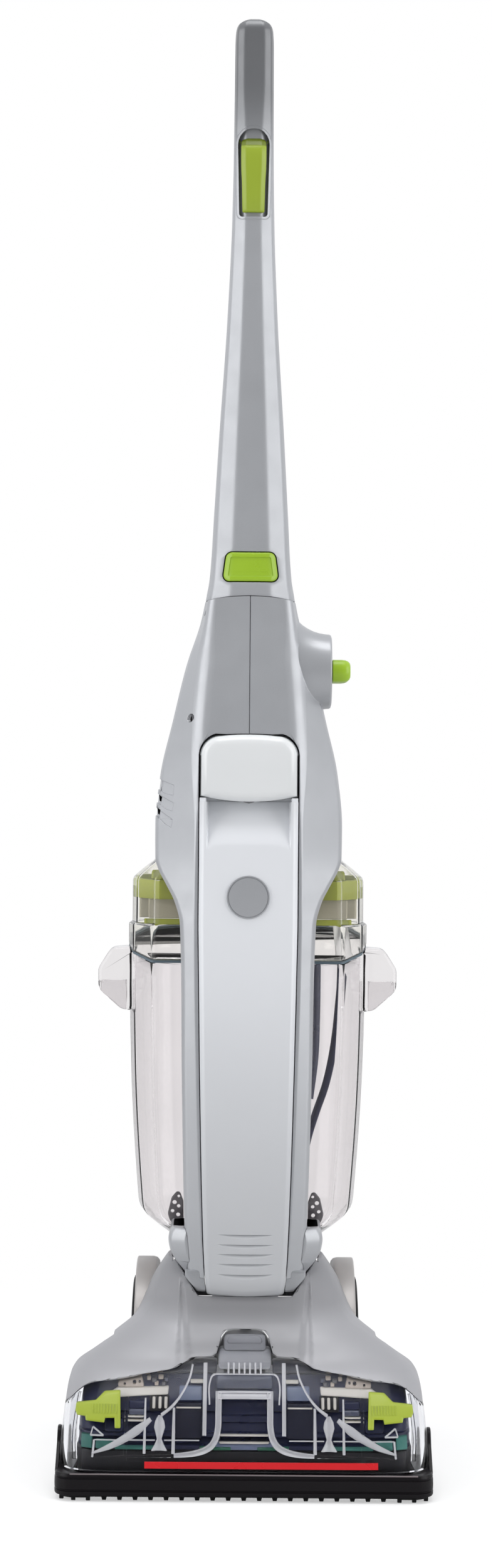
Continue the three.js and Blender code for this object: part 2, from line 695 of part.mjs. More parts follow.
// ---------------------------------------------------------------- foot: wheels and fenders
add("foot", "wheel_axle", rod(AXLE.radius, [-AXLE.half, AXLE.half], 16, "x", [0, AXLE.y, AXLE.z]), steel);
const fenderSector = (radius) => {
  const shape = new THREE.Shape();
  shape.absarc(0, 0, radius, -FENDER.dip, Math.PI + FENDER.dip, false);
  shape.closePath();
  return shape;
};
for (const [name, side] of SIDES) {
  const disc = latchSpan(side, FENDER.inner, FENDER.inner + FENDER.disc);
  const room = latchSpan(side, FENDER.inner + FENDER.disc, FENDER.outer + 1);
  const fender = cut(
    join(
      cut(
        prism(fenderSector(FENDER.radius), "x", latchSpan(side, FENDER.inner, FENDER.outer), 12),
        prism(fenderSector(FENDER.radius - FENDER.wall), "x", room, 12),
        box(room, [-BEYOND, BEYOND], [-BEYOND, -20]),
      ),
      rod(12, disc, 16, "x"),
    ).translate([0, AXLE.y, AXLE.z]),
    rod(AXLE.radius + GAP, [-BEYOND, BEYOND], 12, "x", [0, AXLE.y, AXLE.z]),
  );
  add("foot", `fender_${name}`, fender, silver);
  const place = (profile) => {
    const turned = profile.map(([r, depth]) => [r, side * (WHEEL_INNER + depth)]);
    return lathe(turned, 20, "x", [0, AXLE.y, AXLE.z]);
  };
  const seat = TYRE_RADIUS - TYRE_WALL;
  const bore = AXLE.radius + GAP;
  add(
    "foot",
    `wheel_hub_${name}`,
    place([
      [bore, 0],
      [seat - GAP, 0],
      [seat - GAP, WHEEL_WIDTH],
      [seat - 7, WHEEL_WIDTH],
      [seat - 9, 9],
      [14, 9],
      [11, WHEEL_WIDTH],
      [bore, WHEEL_WIDTH],
      [bore, 0],
    ]),
    darkGrey,
  );
  add(
    "foot",
    `tyre_${name}`,
    place([
      [seat, 0.5],
      [TYRE_RADIUS - 2, 0.5],
      [TYRE_RADIUS, 3.5],
      [TYRE_RADIUS, WHEEL_WIDTH - 3.5],
      [TYRE_RADIUS - 2, WHEEL_WIDTH - 0.5],
      [seat, WHEEL_WIDTH - 0.5],
      [seat, 0.5],
    ]),
    rubber,
  );
}

// ---------------------------------------------------------------- body: housing halves
const tankHalf = (z) => {
  const rise = THREE.MathUtils.clamp((z - TANK_BASE) / (RAIL_TOP - TANK_BASE), 0, 1);
  return mix(29.8, 39, Math.sqrt(rise));
};
const TANK_LEVELS = [TANK_BASE, TANK_BASE + 14, TANK_BASE + 55, 260, 330, RAIL_TOP, TANK_TOP];
const TANK_MIDDLE = (TANK_FRONT + TANK_BACK) / 2;
const tankRing = (z, grow, front, rear) =>
  superRing({ z, half: tankHalf(z) + grow, front, rear, middle: TANK_MIDDLE, power: 12, count: 12 });
const tankPocket = (grow) =>
  loft([
    tankRing(TANK_BASE - 40, grow, -BEYOND, TANK_BACK + 0.5 + grow - TANK_FIT),
    ...TANK_LEVELS.slice(1).map((z) => tankRing(z, grow, -BEYOND, TANK_BACK + 0.5 + grow - TANK_FIT)),
    tankRing(CAP_TOP + grow, grow, -BEYOND, TANK_BACK + 0.5 + grow - TANK_FIT),
  ]);

const HOUSING_STATIONS = [
  { down: 1, wide: 1, ahead: 1, back: 1 },
  { down: 0.872, wide: 0.99, ahead: 0.97, back: 0.96 },
  { down: 0.678, wide: 0.9, ahead: 0.84, back: 0.82 },
  { down: 0.488, wide: 0.672, ahead: 0.65, back: 0.6 },
  { down: 0.26, wide: 0.384, ahead: 0.35, back: 0.31 },
  { down: 0.104, wide: 0.114, ahead: 0.13, back: 0.11 },
  { down: 0, wide: 0, ahead: 0, back: 0 },
];
const SEAM_FRONT = -24;
const SEAM_REAR = 27;
const HOUSING_MIDDLE = 2;
const HOUSING_POWER = 3;

// Half-width of the upper housing's skin at a height and a place along y ahead of its middle.
function flankX(z, y) {
  const down = (HANDLE_SEAM - z) / (HANDLE_SEAM - HOUSING_BASE);
  const below = HOUSING_STATIONS.findLastIndex((station) => station.down >= down);
  const [low, high] = [HOUSING_STATIONS[below], HOUSING_STATIONS[below + 1]];
  const share = (down - low.down) / (high.down - low.down);
  const half = mix(SEAM_HALF, SHOULDER_HALF, mix(low.wide, high.wide, share));
  const front = mix(SEAM_FRONT, SHOULDER_FRONT, mix(low.ahead, high.ahead, share));
  const along = Math.abs(y - HOUSING_MIDDLE) / (HOUSING_MIDDLE - front);
  return half * (1 - along ** HOUSING_POWER) ** (1 / HOUSING_POWER);
}

const upperHousing = (grow, count = 20) =>
  loft(
    HOUSING_STATIONS.map(({ down, wide, ahead, back }) =>
      superRing({
        z: mix(HANDLE_SEAM, HOUSING_BASE, down),
        half: mix(SEAM_HALF, SHOULDER_HALF, wide) + grow,
        front: mix(SEAM_FRONT, SHOULDER_FRONT, ahead) - grow,
        rear: mix(SEAM_REAR, SHOULDER_REAR, back) + grow,
        middle: HOUSING_MIDDLE,
        power: HOUSING_POWER,
        count,
      }),
    ),
  );
const COLUMN_STATIONS = [
  [COLUMN_BASE, 46],
  [YOKE_TOP, 48.5],
  [RAIL_TOP, 54],
  [445, 58.5],
  [460, 66],
  [HOUSING_BASE + 2, SHOULDER_HALF],
];
const column = (grow) =>
  loft(
    COLUMN_STATIONS.map(([z, half]) =>
      superRing({
        z,
        half: half + grow,
        front: mix(-50, SHOULDER_FRONT, (z - COLUMN_BASE) / (HOUSING_BASE - COLUMN_BASE)) - grow,
        rear: COLUMN_BACK + grow,
        middle: -20,
        power: 5,
        count: 16,
      }),
    ),
  );

const DIAL_X = flankX(DIAL.z - DIAL.faceRadius, HOUSING_MIDDLE) + DIAL.proud;
const SCREWS = [
  { name: "housing_screw_upper", y: -14, z: 676 },
  { name: "housing_screw_lower", y: -33, z: 592 },
].map((screw) => ({ ...screw, x: 3 - flankX(screw.z, screw.y) }));
const SCREW = { head: 3.2, shank: 1.7, seat: 3.5, length: 11, boss: 5.5 };
const screwAt = ({ y, z }) => [0, y, z];
const screwBosses = SCREWS.map((screw) =>
  rod(SCREW.boss, [screw.x + 1, screw.x + SCREW.length + 2], 6, "x", screwAt(screw)),
);
const screwHoles = SCREWS.flatMap((screw) => [
  rod(SCREW.head + GAP, [-BEYOND, screw.x + SCREW.seat + GAP / 2], 8, "x", screwAt(screw)),
  rod(SCREW.shank + GAP, [screw.x, screw.x + SCREW.length + GAP], 8, "x", screwAt(screw)),
]);

const FLOOR = HOUSING_BASE + 3;
const MOTOR_FACETS = 14;
const motorShelf = cut(
  box([-BEYOND, BEYOND], [-BEYOND, BEYOND], [MOTOR.base + 3, MOTOR.base + 6]),
  rod(MOTOR.radius + GAP, [0, BEYOND * 3], MOTOR_FACETS, "z", [0, MOTOR.y, 0]),
);
const housingCavity = cut(
  upperHousing(-WALL, INSIDE_FACETS).intersect(
    box([-BEYOND, BEYOND], [-BEYOND, BEYOND], [FLOOR, HANDLE_SEAM - 3]),
  ),
  tankPocket(TANK_FIT + WALL),
  motorShelf,
  ...screwBosses,
);
const dialBoss = lathe(
  [
    [0, 20],
    [DIAL.footRadius, 20],
    [DIAL.footRadius, 44],
    [DIAL.faceRadius, DIAL_X - 2],
    [0, DIAL_X - 2],
  ],
  20,
  "x",
  [0, 0, DIAL.z],
);
const INLET = { radius: 16, y: 42 };
const ventLevels = [541, 529, 517, 505];
const vents = ventLevels.map((z) => box([-BEYOND, -63], [-38, 14], [z - 2, z + 2]));
const housing = cut(
  join(upperHousing(0), column(0), dialBoss),
  housingCavity,
  tankPocket(TANK_FIT),
  box([-30, 30], [-6, 5], [0, FLOOR + 1]),
  rod(INLET.radius, [HOUSING_BASE - 20, FLOOR + 1], 16, "z", [0, INLET.y, 0]),
  box([-TONGUE.half - 0.4, TONGUE.half + 0.4], [TONGUE.front - 0.4, TONGUE.rear + 0.4], [
    HANDLE_SEAM - 20,
    HANDLE_SEAM + 5,
  ]),
);
const leftHalf = box([-BEYOND, -SPLIT_GAP / 2], [-BEYOND, BEYOND], [0, BEYOND * 3]);
const rightHalf = box([SPLIT_GAP / 2, BEYOND], [-BEYOND, BEYOND], [0, BEYOND * 3]);
const DIAL_PLATE = { radius: DIAL.faceRadius - 1.5, thick: 2 };
const dialBase = DIAL_X - DIAL_PLATE.thick;
const knobBore = rod(5.4, [dialBase - 12, BEYOND], 12, "x", [0, 0, DIAL.z]);
// Strain relief of the supply cord, low on the back of the housing.
const GLAND = { x: 18, z: 640, wall: 43, radius: 5, reach: 20 };
const glandAt = [GLAND.x, GLAND.wall, GLAND.z];
const glandHole = rod(GLAND.radius + GAP, [-12, BEYOND], 10, "y", glandAt);
add("upright", "housing_left", cut(housing.intersect(leftHalf), ...vents, ...screwHoles), silver);
add("upright", "housing_right", cut(housing.intersect(rightHalf), knobBore, glandHole), silver);
add(
  "upright",
  "cord_gland",
  cut(
    lathe(
      [
        [0, -11],
        [GLAND.radius + 2, -11],
        [GLAND.radius + 2, -8],
        [GLAND.radius, -8],
        [GLAND.radius, 5],
        [GLAND.radius - 1.2, GLAND.reach],
        [0, GLAND.reach],
      ],
      10,
      "y",
      glandAt,
    ),
    rod(2.8, [GLAND.reach - 10, BEYOND], 8, "y", glandAt),
  ),
  rubber,
);
for (const screw of SCREWS) {
  const profile = [
    [0, screw.x + 1],
    [SCREW.head, screw.x + 1],
    [SCREW.head, screw.x + SCREW.seat],
    [SCREW.shank, screw.x + SCREW.seat],
    [SCREW.shank, screw.x + SCREW.length],
    [0, screw.x + SCREW.length],
  ];
  add("upright", screw.name, lathe(profile, 8, "x", screwAt(screw)), steel);
}
add(
  "upright",
  "dial_plate",
  ring(6, DIAL_PLATE.radius, [dialBase + GAP, DIAL_X], 20, "x", [0, 0, DIAL.z]),
  darkGrey,
);
const knobGrip = outline(
  [
    [-KNOB.length / 2, DIAL.z - KNOB.height / 2],
    [KNOB.length / 2, DIAL.z - KNOB.height / 2],
    [KNOB.length / 2, DIAL.z + KNOB.height / 2],
    [-KNOB.length / 2, DIAL.z + KNOB.height / 2],
  ],
  8,
);
add(
  "upright",
  "mode_knob",
  join(
    prism(knobGrip, "x", [DIAL_X + GAP, DIAL_X + KNOB.proud]),
    rod(5, [dialBase - 11, DIAL_X + 1], 12, "x", [0, 0, DIAL.z]),
  ),
  green,
);

// ---------------------------------------------------------------- body: yoke and pivot
const yokeProfile = outline([
  [-20, YOKE_TOP - 20],
  [-20, 138],
  [-6, 126],
  [AXLE.y - DRUM_RADIUS, AXLE.z],
  [AXLE.y + DRUM_RADIUS, AXLE.z],
  [52, 150],
  [44, 162],
  [9.5, 162],
  [9.5, YOKE_TOP - 20],
]);
const collar = loft(
  [
    [162, YOKE_HALF],
    [178, YOKE_COLLAR_HALF],
    [YOKE_TOP, YOKE_COLLAR_HALF - 1.5],
  ].map(([z, half]) =>
    superRing({ z, half, front: -30, rear: RECOVERY_FRONT - GAP, middle: -8, power: 8, count: 16 }),
  ),
);
add(
  "upright",
  "pivot_yoke",
  cut(
    join(
      ...SIDES.map(([, side]) =>
        prism(yokeProfile, "x", latchSpan(side, YOKE_HALF - YOKE_ARM, YOKE_HALF - 0.5)),
      ),
      rod(DRUM_RADIUS, [-YOKE_HALF + 0.5, YOKE_HALF - 0.5], 16, "x", [0, AXLE.y, AXLE.z]),
      box([-YOKE_HALF + 1, YOKE_HALF - 1], [10, 44], [158, 162]),
      collar,
      box([-YOKE_HALF + 1, YOKE_HALF - 1], [-20, TANK_BACK], [TANK_BASE - 7, TANK_BASE - GAP]),
      box([-26, 26], [-54, TANK_BACK], [HOOD_SEAT + GAP, TANK_BASE - GAP]),
      box([-YOKE_HALF + 1, YOKE_HALF - 1], [-20, -17], [TANK_BASE - 7, 163]),
    ),
    column(GAP),
    tankPocket(TANK_FIT).intersect(box([-BEYOND, BEYOND], [-BEYOND, BEYOND], [TANK_BASE - GAP, BEYOND])),
    rod(AXLE.radius + GAP, [-BEYOND, BEYOND], 12, "x", [0, AXLE.y, AXLE.z]),
  ),
  darkGrey,
);
add(
  "upright",
  "pivot_hose",
  tube(
    [
      [0, DUCT.rear + GAP, 98],
      [0, -8, 104],
      [0, -2, 120],
      [0, -0.5, COLUMN_BASE - GAP],
    ],
    4.8,
    4,
    8,
  ),
  rubber,
);

// ---------------------------------------------------------------- body: suction motor and valve
add(
  "upright",
  "suction_motor",
  lathe(
    [
      [4.6, MOTOR.base],
      [MOTOR.radius, MOTOR.base],
      [MOTOR.radius, MOTOR.base + 26],
      [MOTOR.radius - 8, MOTOR.base + 30],
      [MOTOR.radius - 8, MOTOR.top - 6],
      [10, MOTOR.top],
      [0, MOTOR.top],
      [0, MOTOR.base + 12],
      [4.6, MOTOR.base + 12],
      [4.6, MOTOR.base],
    ],
    MOTOR_FACETS,
    "z",
    [0, MOTOR.y, 0],
  ),
  steel,
);
const IMPELLER = { radius: 31, base: FLOOR + 5, disc: FLOOR + 8, top: MOTOR.base - 3 };
const BLADES = 7;
const blades = Array.from({ length: BLADES }, (_, i) =>
  box([5, IMPELLER.radius - 1], [-1, 1], [IMPELLER.disc - 1, IMPELLER.top]).rotate([
    0,
    0,
    (360 * i) / BLADES,
  ]),
);
add(
  "upright",
  "suction_impeller",
  join(
    rod(IMPELLER.radius, [IMPELLER.base, IMPELLER.disc], 14, "z"),
    rod(7, [IMPELLER.base, IMPELLER.top], 8, "z"),
    rod(4, [IMPELLER.base, MOTOR.base + 11], 8, "z"),
    ...blades,
  ).translate([0, MOTOR.y, 0]),
  steel,
);
add(
  "upright",
  "inlet_seal",
  ring(11, INLET.radius - GAP, [LID_TOP + GAP, FLOOR + 2], 16, "z", [0, INLET.y, 0]),
  rubber,
);
add(
  "upright",
  "solution_valve",
  box([-9, 9], [-26, 9], [CAP_TOP + TANK_FIT + WALL + GAP, ROD.base - GAP]),
  black,
);

// ---------------------------------------------------------------- clean solution tank
const tankBody = loft(
  [
    tankRing(TANK_BASE, 0, TANK_FRONT + 4, TANK_BACK),
    ...TANK_LEVELS.slice(1).map((z) => tankRing(z, 0, TANK_FRONT, TANK_BACK)),
  ],
);
const tankInside = loft([
  tankRing(TANK_BASE + WALL, -WALL, TANK_FRONT + 4 + WALL, TANK_BACK - WALL),
  ...TANK_LEVELS.slice(1, -1).map((z) => tankRing(z, -WALL, TANK_FRONT + WALL, TANK_BACK - WALL)),
  tankRing(TANK_TOP - WALL, -WALL, TANK_FRONT + WALL, TANK_BACK - WALL),
]);
const recess = (grow) =>
  box(
    [-FINGER_RECESS.half - grow, FINGER_RECESS.half + grow],
    [-BEYOND, TANK_FRONT + FINGER_RECESS.depth + grow],
    [TANK_TOP - FINGER_RECESS.height - grow, TANK_TOP + grow],
  );
const GROOVES = { tops: [186.3, 178.5, 170.9, 163.2, 155.4], half: 21.3, height: 2.8, depth: 1.2 };
const grooveSide = (top) =>
  outline([
    [TANK_FRONT - 1, top],
    [TANK_FRONT + GROOVES.depth, top],
    [TANK_FRONT, top - GROOVES.height],
    [TANK_FRONT - 1, top - GROOVES.height],
  ]);
const grooves = GROOVES.tops.map((top) => prism(grooveSide(top), "x", [-GROOVES.half, GROOVES.half]));
const MOUTH = { y: -30, radius: 11 };
add(
  "solution",
  "solution_tank",
  cut(
    tankBody,
    cut(tankInside, recess(WALL)),
    recess(0),
    rod(MOUTH.radius, [TANK_TOP - 20, TANK_TOP + 20], 16, "z", [0, MOUTH.y, 0]),
    rod(4.6, [0, TANK_BASE + 20], 12, "z", [0, MOUTH.y, 0]),
    ...grooves,
  ),
  white,
);
const capOutline = (inset) =>
  outline([
    [-CAP_HALF + inset, TANK_TOP + GAP - (inset ? 1 : 0)],
    [CAP_HALF - inset, TANK_TOP + GAP - (inset ? 1 : 0)],
    [CAP_HALF - inset, CAP_TOP - inset, 16 - inset],
    [-CAP_HALF + inset, CAP_TOP - inset, 16 - inset],
  ]);
add(
  "solution",
  "solution_cap",
  cut(
    prism(capOutline(0), "y", [TANK_FRONT, TANK_BACK], 5).intersect(
      loft([TANK_TOP, CAP_TOP + 1].map((z) => tankRing(z, 0, TANK_FRONT, TANK_BACK))),
    ),
    prism(capOutline(WALL), "y", [TANK_FRONT + WALL, TANK_BACK - WALL], 5),
  ),
  white,
);
add(
  "solution",
  "fill_plug",
  lathe(
    [
      [0, TANK_TOP - 8],
      [MOUTH.radius - GAP - 0.3, TANK_TOP - 8],
      [MOUTH.radius - GAP - 0.3, TANK_TOP + GAP],
      [MOUTH.radius + 3, TANK_TOP + GAP],
      [MOUTH.radius + 3, TANK_TOP + 9],
      [0, TANK_TOP + 9],
    ],
    16,
    "z",
    [0, MOUTH.y, 0],
  ),
  darkGrey,
);
add(
  "solution",
  "outlet_valve",
  lathe(
    [
      [0, TANK_BASE],
      [4.2, TANK_BASE],
      [4.2, TANK_BASE + WALL + GAP],
      [7, TANK_BASE + WALL + GAP],
      [7, TANK_BASE + WALL + 3],
      [0, TANK_BASE + WALL + 3],
    ],
    12,
    "z",
    [0, MOUTH.y, 0],
  ),
  rubber,
);
add(
  "solution",
  "tank_badge",
  rod(BADGE.radius, [TANK_FRONT - GAP - BADGE.thick, TANK_FRONT - GAP], 20, "y", [0, 0, BADGE.z]),
  silver,
);

// ---------------------------------------------------------------- recovery tank
// Half of the plan outline from the front middle round to the rear middle: across, then along.
const RECOVERY_PLAN = [
  [0.4, 0],
  [0.78, 0],
  [0.95, 0.24],
  [1, 0.42],
  [0.99, 0.68],
  [0.89, 0.9],
  [0.66, 1],
  [0.3, 1],
];
const RECOVERY_STATIONS = [
  { z: RECOVERY_BASE, half: 0.567 * RECOVERY_HALF, rear: RECOVERY_REAR - 24 },
  { z: RECOVERY_BASE + 26, half: 0.892 * RECOVERY_HALF, rear: RECOVERY_REAR - 10 },
  { z: 306, half: 0.973 * RECOVERY_HALF, rear: RECOVERY_REAR - 4 },
  { z: 424, half: RECOVERY_HALF, rear: RECOVERY_REAR },
  { z: 426, half: RECOVERY_HALF - 3.1, rear: RECOVERY_REAR - 2 },
  { z: LID_TOP - 17, half: RECOVERY_HALF - 3.1, rear: RECOVERY_REAR - 4 },
  { z: LID_TOP, half: SHOULDER_HALF + 1, rear: RECOVERY_REAR - 24 },
];
const recoveryRing = (z, half, front, rear) => {
  const right = RECOVERY_PLAN.map(
    ([across, along]) => new THREE.Vector3(across * half, mix(front, rear, along), z),
  );
  const left = right.map((p) => new THREE.Vector3(-p.x, p.y, p.z)).reverse();
  return [...right, ...left];
};
const recoverySkin = (grow) =>
  loft(
    RECOVERY_STATIONS.map(({ z, half, rear }, i) => {
      const level = i === 0 ? z - grow : i === RECOVERY_STATIONS.length - 1 ? z + grow : z;
      return recoveryRing(level, half + grow, RECOVERY_FRONT - grow, rear + grow);
    }),
  );
const gasketZ = (y) => GASKET.frontZ + (y - RECOVERY_FRONT) * GASKET.slope;
const belowGasket = (lift) =>
  prism(
    outline([
      [-BEYOND, 0],
      [BEYOND, 0],
      [BEYOND, gasketZ(BEYOND) + lift],
      [-BEYOND, gasketZ(-BEYOND) + lift],
    ]),
    "x",
    [-BEYOND, BEYOND],
  );
const recoveryOuter = recoverySkin(0);
const recoveryInner = recoverySkin(-RECOVERY_WALL);
const earFace = (side, inset) =>
  outline([
    [side * (RECOVERY_HALF - 6), EAR.low - 4],
    [side * (RECOVERY_HALF - 1), EAR.low + inset * 2],
    [side * (RECOVERY_HALF + EAR.reach - inset), EAR.tip + inset],
    [side * (RECOVERY_HALF + EAR.reach - inset), EAR.tipTop - inset],
    [side * (RECOVERY_HALF - 1), EAR.high - 12 - inset],
    [side * (RECOVERY_HALF - 6), EAR.high - 12],
  ]);
const ears = SIDES.map(([, side]) =>
  cut(
    prism(earFace(side, 0), "y", [EAR.y - EAR.half, EAR.y + EAR.half]),
    prism(earFace(side, WALL), "y", [EAR.y - EAR.half + WALL, EAR.y + EAR.half - WALL]).add(
      box(latchSpan(side, RECOVERY_HALF + 2, RECOVERY_HALF + EAR.reach - WALL), [
        EAR.y - EAR.half + WALL,
        EAR.y + EAR.half - WALL,
      ], [EAR.low - 10, EAR.tip + 8]),
    ),
  ),
);
add(
  "recovery",
  "recovery_tank",
  cut(join(recoveryOuter, ...ears), recoveryInner).intersect(belowGasket(0)),
  clear,
);
const gasketBand = cut(belowGasket(GASKET.thick + GAP), belowGasket(GAP));
add(
  "recovery",
  "tank_gasket",
  cut(recoveryOuter, recoverySkin(-GASKET.width)).intersect(gasketBand),
  rubber,
);
const lidPort = rod(10, [LID_TOP - 20, LID_TOP + 20], 16, "z", [0, INLET.y, 0]);
add(
  "recovery",
  "tank_lid",
  cut(recoveryOuter, recoveryInner, lidPort, belowGasket(GASKET.thick + 2 * GAP)),
  clear,
);

const CAGE = { y: INLET.y, radius: 22, low: 418, top: LID_TOP - RECOVERY_WALL - GAP };
const cageWindows = Array.from({ length: 3 }, (_, i) =>
  box([-BEYOND, BEYOND], [-6, 6], [CAGE.low + 8, CAGE.top - 12])
    .rotate([0, 0, 60 * i])
    .translate([0, CAGE.y, 0]),
);
add(
  "recovery",
  "float_cage",
  cut(
    rod(CAGE.radius, [CAGE.low, CAGE.top], 12, "z", [0, CAGE.y, 0]),
    rod(CAGE.radius - WALL, [CAGE.low + WALL, CAGE.top + 1], 12, "z", [0, CAGE.y, 0]),
    rod(9, [CAGE.low - 1, CAGE.top], 8, "z", [0, CAGE.y, 0]),
    ...cageWindows,
  ),
  green,
);
const FLOAT = { base: CAGE.low + WALL + GAP, height: 22, travel: 20 };
add(
  "recovery",
  "tank_float",
  rod(CAGE.radius - WALL - 1, [FLOAT.base, FLOAT.base + FLOAT.height], 12, "z", [0, CAGE.y, 0]),
  white,
);
// Pipe that carries the dirty water up: from the floor of the tank, sweeping out to the wall, into the lid.
const PIPE = { radius: 6.5, wall: 1.8, foot: 40, y: 56, low: RECOVERY_BASE + RECOVERY_WALL + GAP };
const pipeOut = RECOVERY_HALF - 14.5;
const pipePath = (overrun) => [
  [PIPE.foot, PIPE.y + 10, PIPE.low - 1 - overrun],
  [mix(PIPE.foot, pipeOut, 0.3), PIPE.y + 6, 262],
  [mix(PIPE.foot, pipeOut, 0.88), PIPE.y, 358],
  [pipeOut - 0.5, PIPE.y, 400],
  [mix(PIPE.foot, pipeOut, 0.8), PIPE.y - 2, 430 + overrun],
];
add(
  "recovery",
  "standpipe",
  cut(tube(pipePath(0), PIPE.radius, 4, 8), tube(pipePath(1), PIPE.radius - PIPE.wall, 3, 8)).intersect(
    box([0, BEYOND], [0, BEYOND], [PIPE.low, BEYOND]),
  ),
  navy,
);
// Filter pushed up into the lid: a frame along its walls with pleats on either side.
const FILTER = { low: 446, high: 461, rim: 4, inner: 52, pleats: 3, pitch: 20, first: 44, thick: 2 };
const filterBand = (inset, span) =>
  recoverySkin(-RECOVERY_WALL - inset).intersect(box([-BEYOND, BEYOND], [-BEYOND, BEYOND], span));
const PLEAT_Z = [FILTER.low, FILTER.low + 8];
const pleats = SIDES.flatMap(([, side]) => [
  box(latchSpan(side, FILTER.inner, FILTER.inner + FILTER.thick), [0, RECOVERY_REAR], PLEAT_Z),
  ...Array.from({ length: FILTER.pleats }, (_, i) => {
    const y = FILTER.first + i * FILTER.pitch;
    return box(latchSpan(side, FILTER.inner, RECOVERY_HALF), [y, y + FILTER.thick], PLEAT_Z);
  }),
]);
add(
  "recovery",
  "tank_filter",
  join(
    cut(filterBand(GAP, [FILTER.low, FILTER.high]), filterBand(GAP + FILTER.rim, [0, BEYOND * 2])),
    ...pleats.map((pleat) => pleat.intersect(filterBand(GAP + 1, [FILTER.low, FILTER.high]))),
  ),
  green,
);

// ---------------------------------------------------------------- handle
const HANDLE_BASE = HANDLE_SEAM + GAP;
const SHAFT_TOP = HEIGHT - GRIP_LENGTH;
const shaftZ = (share) => mix(HANDLE_BASE, SHAFT_TOP, share);
const HANDLE_STATIONS = [
  { z: HANDLE_BASE, half: SEAM_HALF - 0.1, deep: 25, power: 3 },
  { z: shaftZ(0.042), half: 33.1, deep: 22.5, power: 3 },
  { z: shaftZ(0.41), half: 26.4, deep: 18.5, power: 3 },
  { z: shaftZ(0.748), half: 20, deep: 16.5, power: 3 },
  { z: SHAFT_TOP, half: 16.9, deep: 15.5, power: 3 },
  { z: HEIGHT - 91, half: 15.9, deep: 15.5, power: 3 },
  { z: HEIGHT - 50, half: 15.6, deep: 16, power: 2.8 },
  { z: HEIGHT - 20, half: 15.4, deep: 15.5, power: 2.8 },
  { z: HEIGHT - 5.5, half: 14, deep: 13, power: 2.6 },
  { z: HEIGHT, half: 9.5, deep: 8, power: 2.4 },
];
const handleMiddle = (z) =>
  1 - GRIP_SWEEP.depth * THREE.MathUtils.smoothstep(z, HEIGHT - GRIP_SWEEP.below, HEIGHT + GRIP_SWEEP.above);
const handleSkin = (grow, count = 16) =>
  loft(
    HANDLE_STATIONS.map(({ z, half, deep, power }) =>
      superRing({
        z,
        half: half + grow,
        front: handleMiddle(z) - deep - grow,
        rear: handleMiddle(z) + deep + grow,
        middle: handleMiddle(z),
        power,
        count,
      }),
    ),
  );
const handleShell = cut(
  handleSkin(0),
  handleSkin(-WALL, INSIDE_FACETS).intersect(
    box([-BEYOND, BEYOND], [-BEYOND, BEYOND], [HANDLE_BASE - 1, HEIGHT - 12]),
  ),
);
const aheadOfMiddle = (shift) =>
  prism(
    outline([
      [-BEYOND, HANDLE_BASE - 60],
      [handleMiddle(HANDLE_BASE) + shift, HANDLE_BASE - 60],
      ...HANDLE_STATIONS.map(({ z }) => [handleMiddle(z) + shift, z]),
      [handleMiddle(HEIGHT) + shift, HEIGHT + 20],
      [-BEYOND, HEIGHT + 20],
    ]),
    "x",
    [-BEYOND, BEYOND],
  );
const buttonFace = (grow) =>
  outline(
    [
      [-BUTTON.lowHalf - grow, BUTTON.low - grow],
      [BUTTON.lowHalf + grow, BUTTON.low - grow],
      [BUTTON.highHalf + grow, BUTTON.high + grow],
      [-BUTTON.highHalf - grow, BUTTON.high + grow],
    ],
    5,
  );
const slotFace = outline([
  [-TRIGGER_SLOT.half, TRIGGER_SLOT.low, 4],
  [TRIGGER_SLOT.half, TRIGGER_SLOT.low, 4],
  [TRIGGER_SLOT.half, TRIGGER_SLOT.top, 12],
  [-TRIGGER_SLOT.half, TRIGGER_SLOT.top, 12],
]);
add(
  "handle",
  "handle_front",
  cut(
    handleShell.intersect(aheadOfMiddle(-GAP / 2)),
    prism(buttonFace(0.6), "y", [-BEYOND, 0]),
    prism(slotFace, "y", [-BEYOND, TRIGGER.pivotY + 4]),
  ),
  silver,
);
const tongue = cut(
  box([-TONGUE.half, TONGUE.half], [TONGUE.front, TONGUE.rear], [TONGUE.base, HANDLE_SEAM + 6]),
  box([-TONGUE.half + WALL, TONGUE.half - WALL], [TONGUE.front + WALL, TONGUE.rear - WALL], [0, BEYOND * 3]),
);
const flange = cut(
  handleSkin(-WALL - GAP, INSIDE_FACETS)
    .add(cut(handleSkin(-1), aheadOfMiddle(GAP / 2)))
    .intersect(box([-BEYOND, BEYOND], [-BEYOND, BEYOND], [HANDLE_SEAM + 2, HANDLE_SEAM + 6])),
  box([-TONGUE.half + WALL, TONGUE.half - WALL], [TONGUE.front + WALL, TONGUE.rear - WALL], [0, BEYOND * 3]),
);
const leverZ = [TRIGGER.pivotZ - 2, TRIGGER.pivotZ + 1];
const triggerPin = [-TRIGGER_SLOT.half + 0.4, TRIGGER_SLOT.half - 0.4];
const SPRING_Z = { trigger: TRIGGER.low + 14, button: (BUTTON.low + BUTTON.high) / 2 };
const HOOK_Z = shaftZ(UPPER_HOOK.share);
const springSeats = [
  rod(4, [1, 14], 10, "y", [-2.5, 0, SPRING_Z.trigger]),
  rod(4.5, [3, 22], 10, "y", [-6, 0, SPRING_Z.button]),
];
add(
  "handle",
  "handle_rear",
  cut(
    join(cut(handleShell, aheadOfMiddle(GAP / 2)), tongue, flange, ...springSeats),
    rod(4.4, [0, BEYOND], 12, "y", [0, 0, HOOK_Z]),
  ),
  silver,
);
add(
  "handle",
  "release_button",
  handleSkin(1).intersect(prism(buttonFace(0), "y", [-BEYOND, BUTTON.back])),
  green,
);
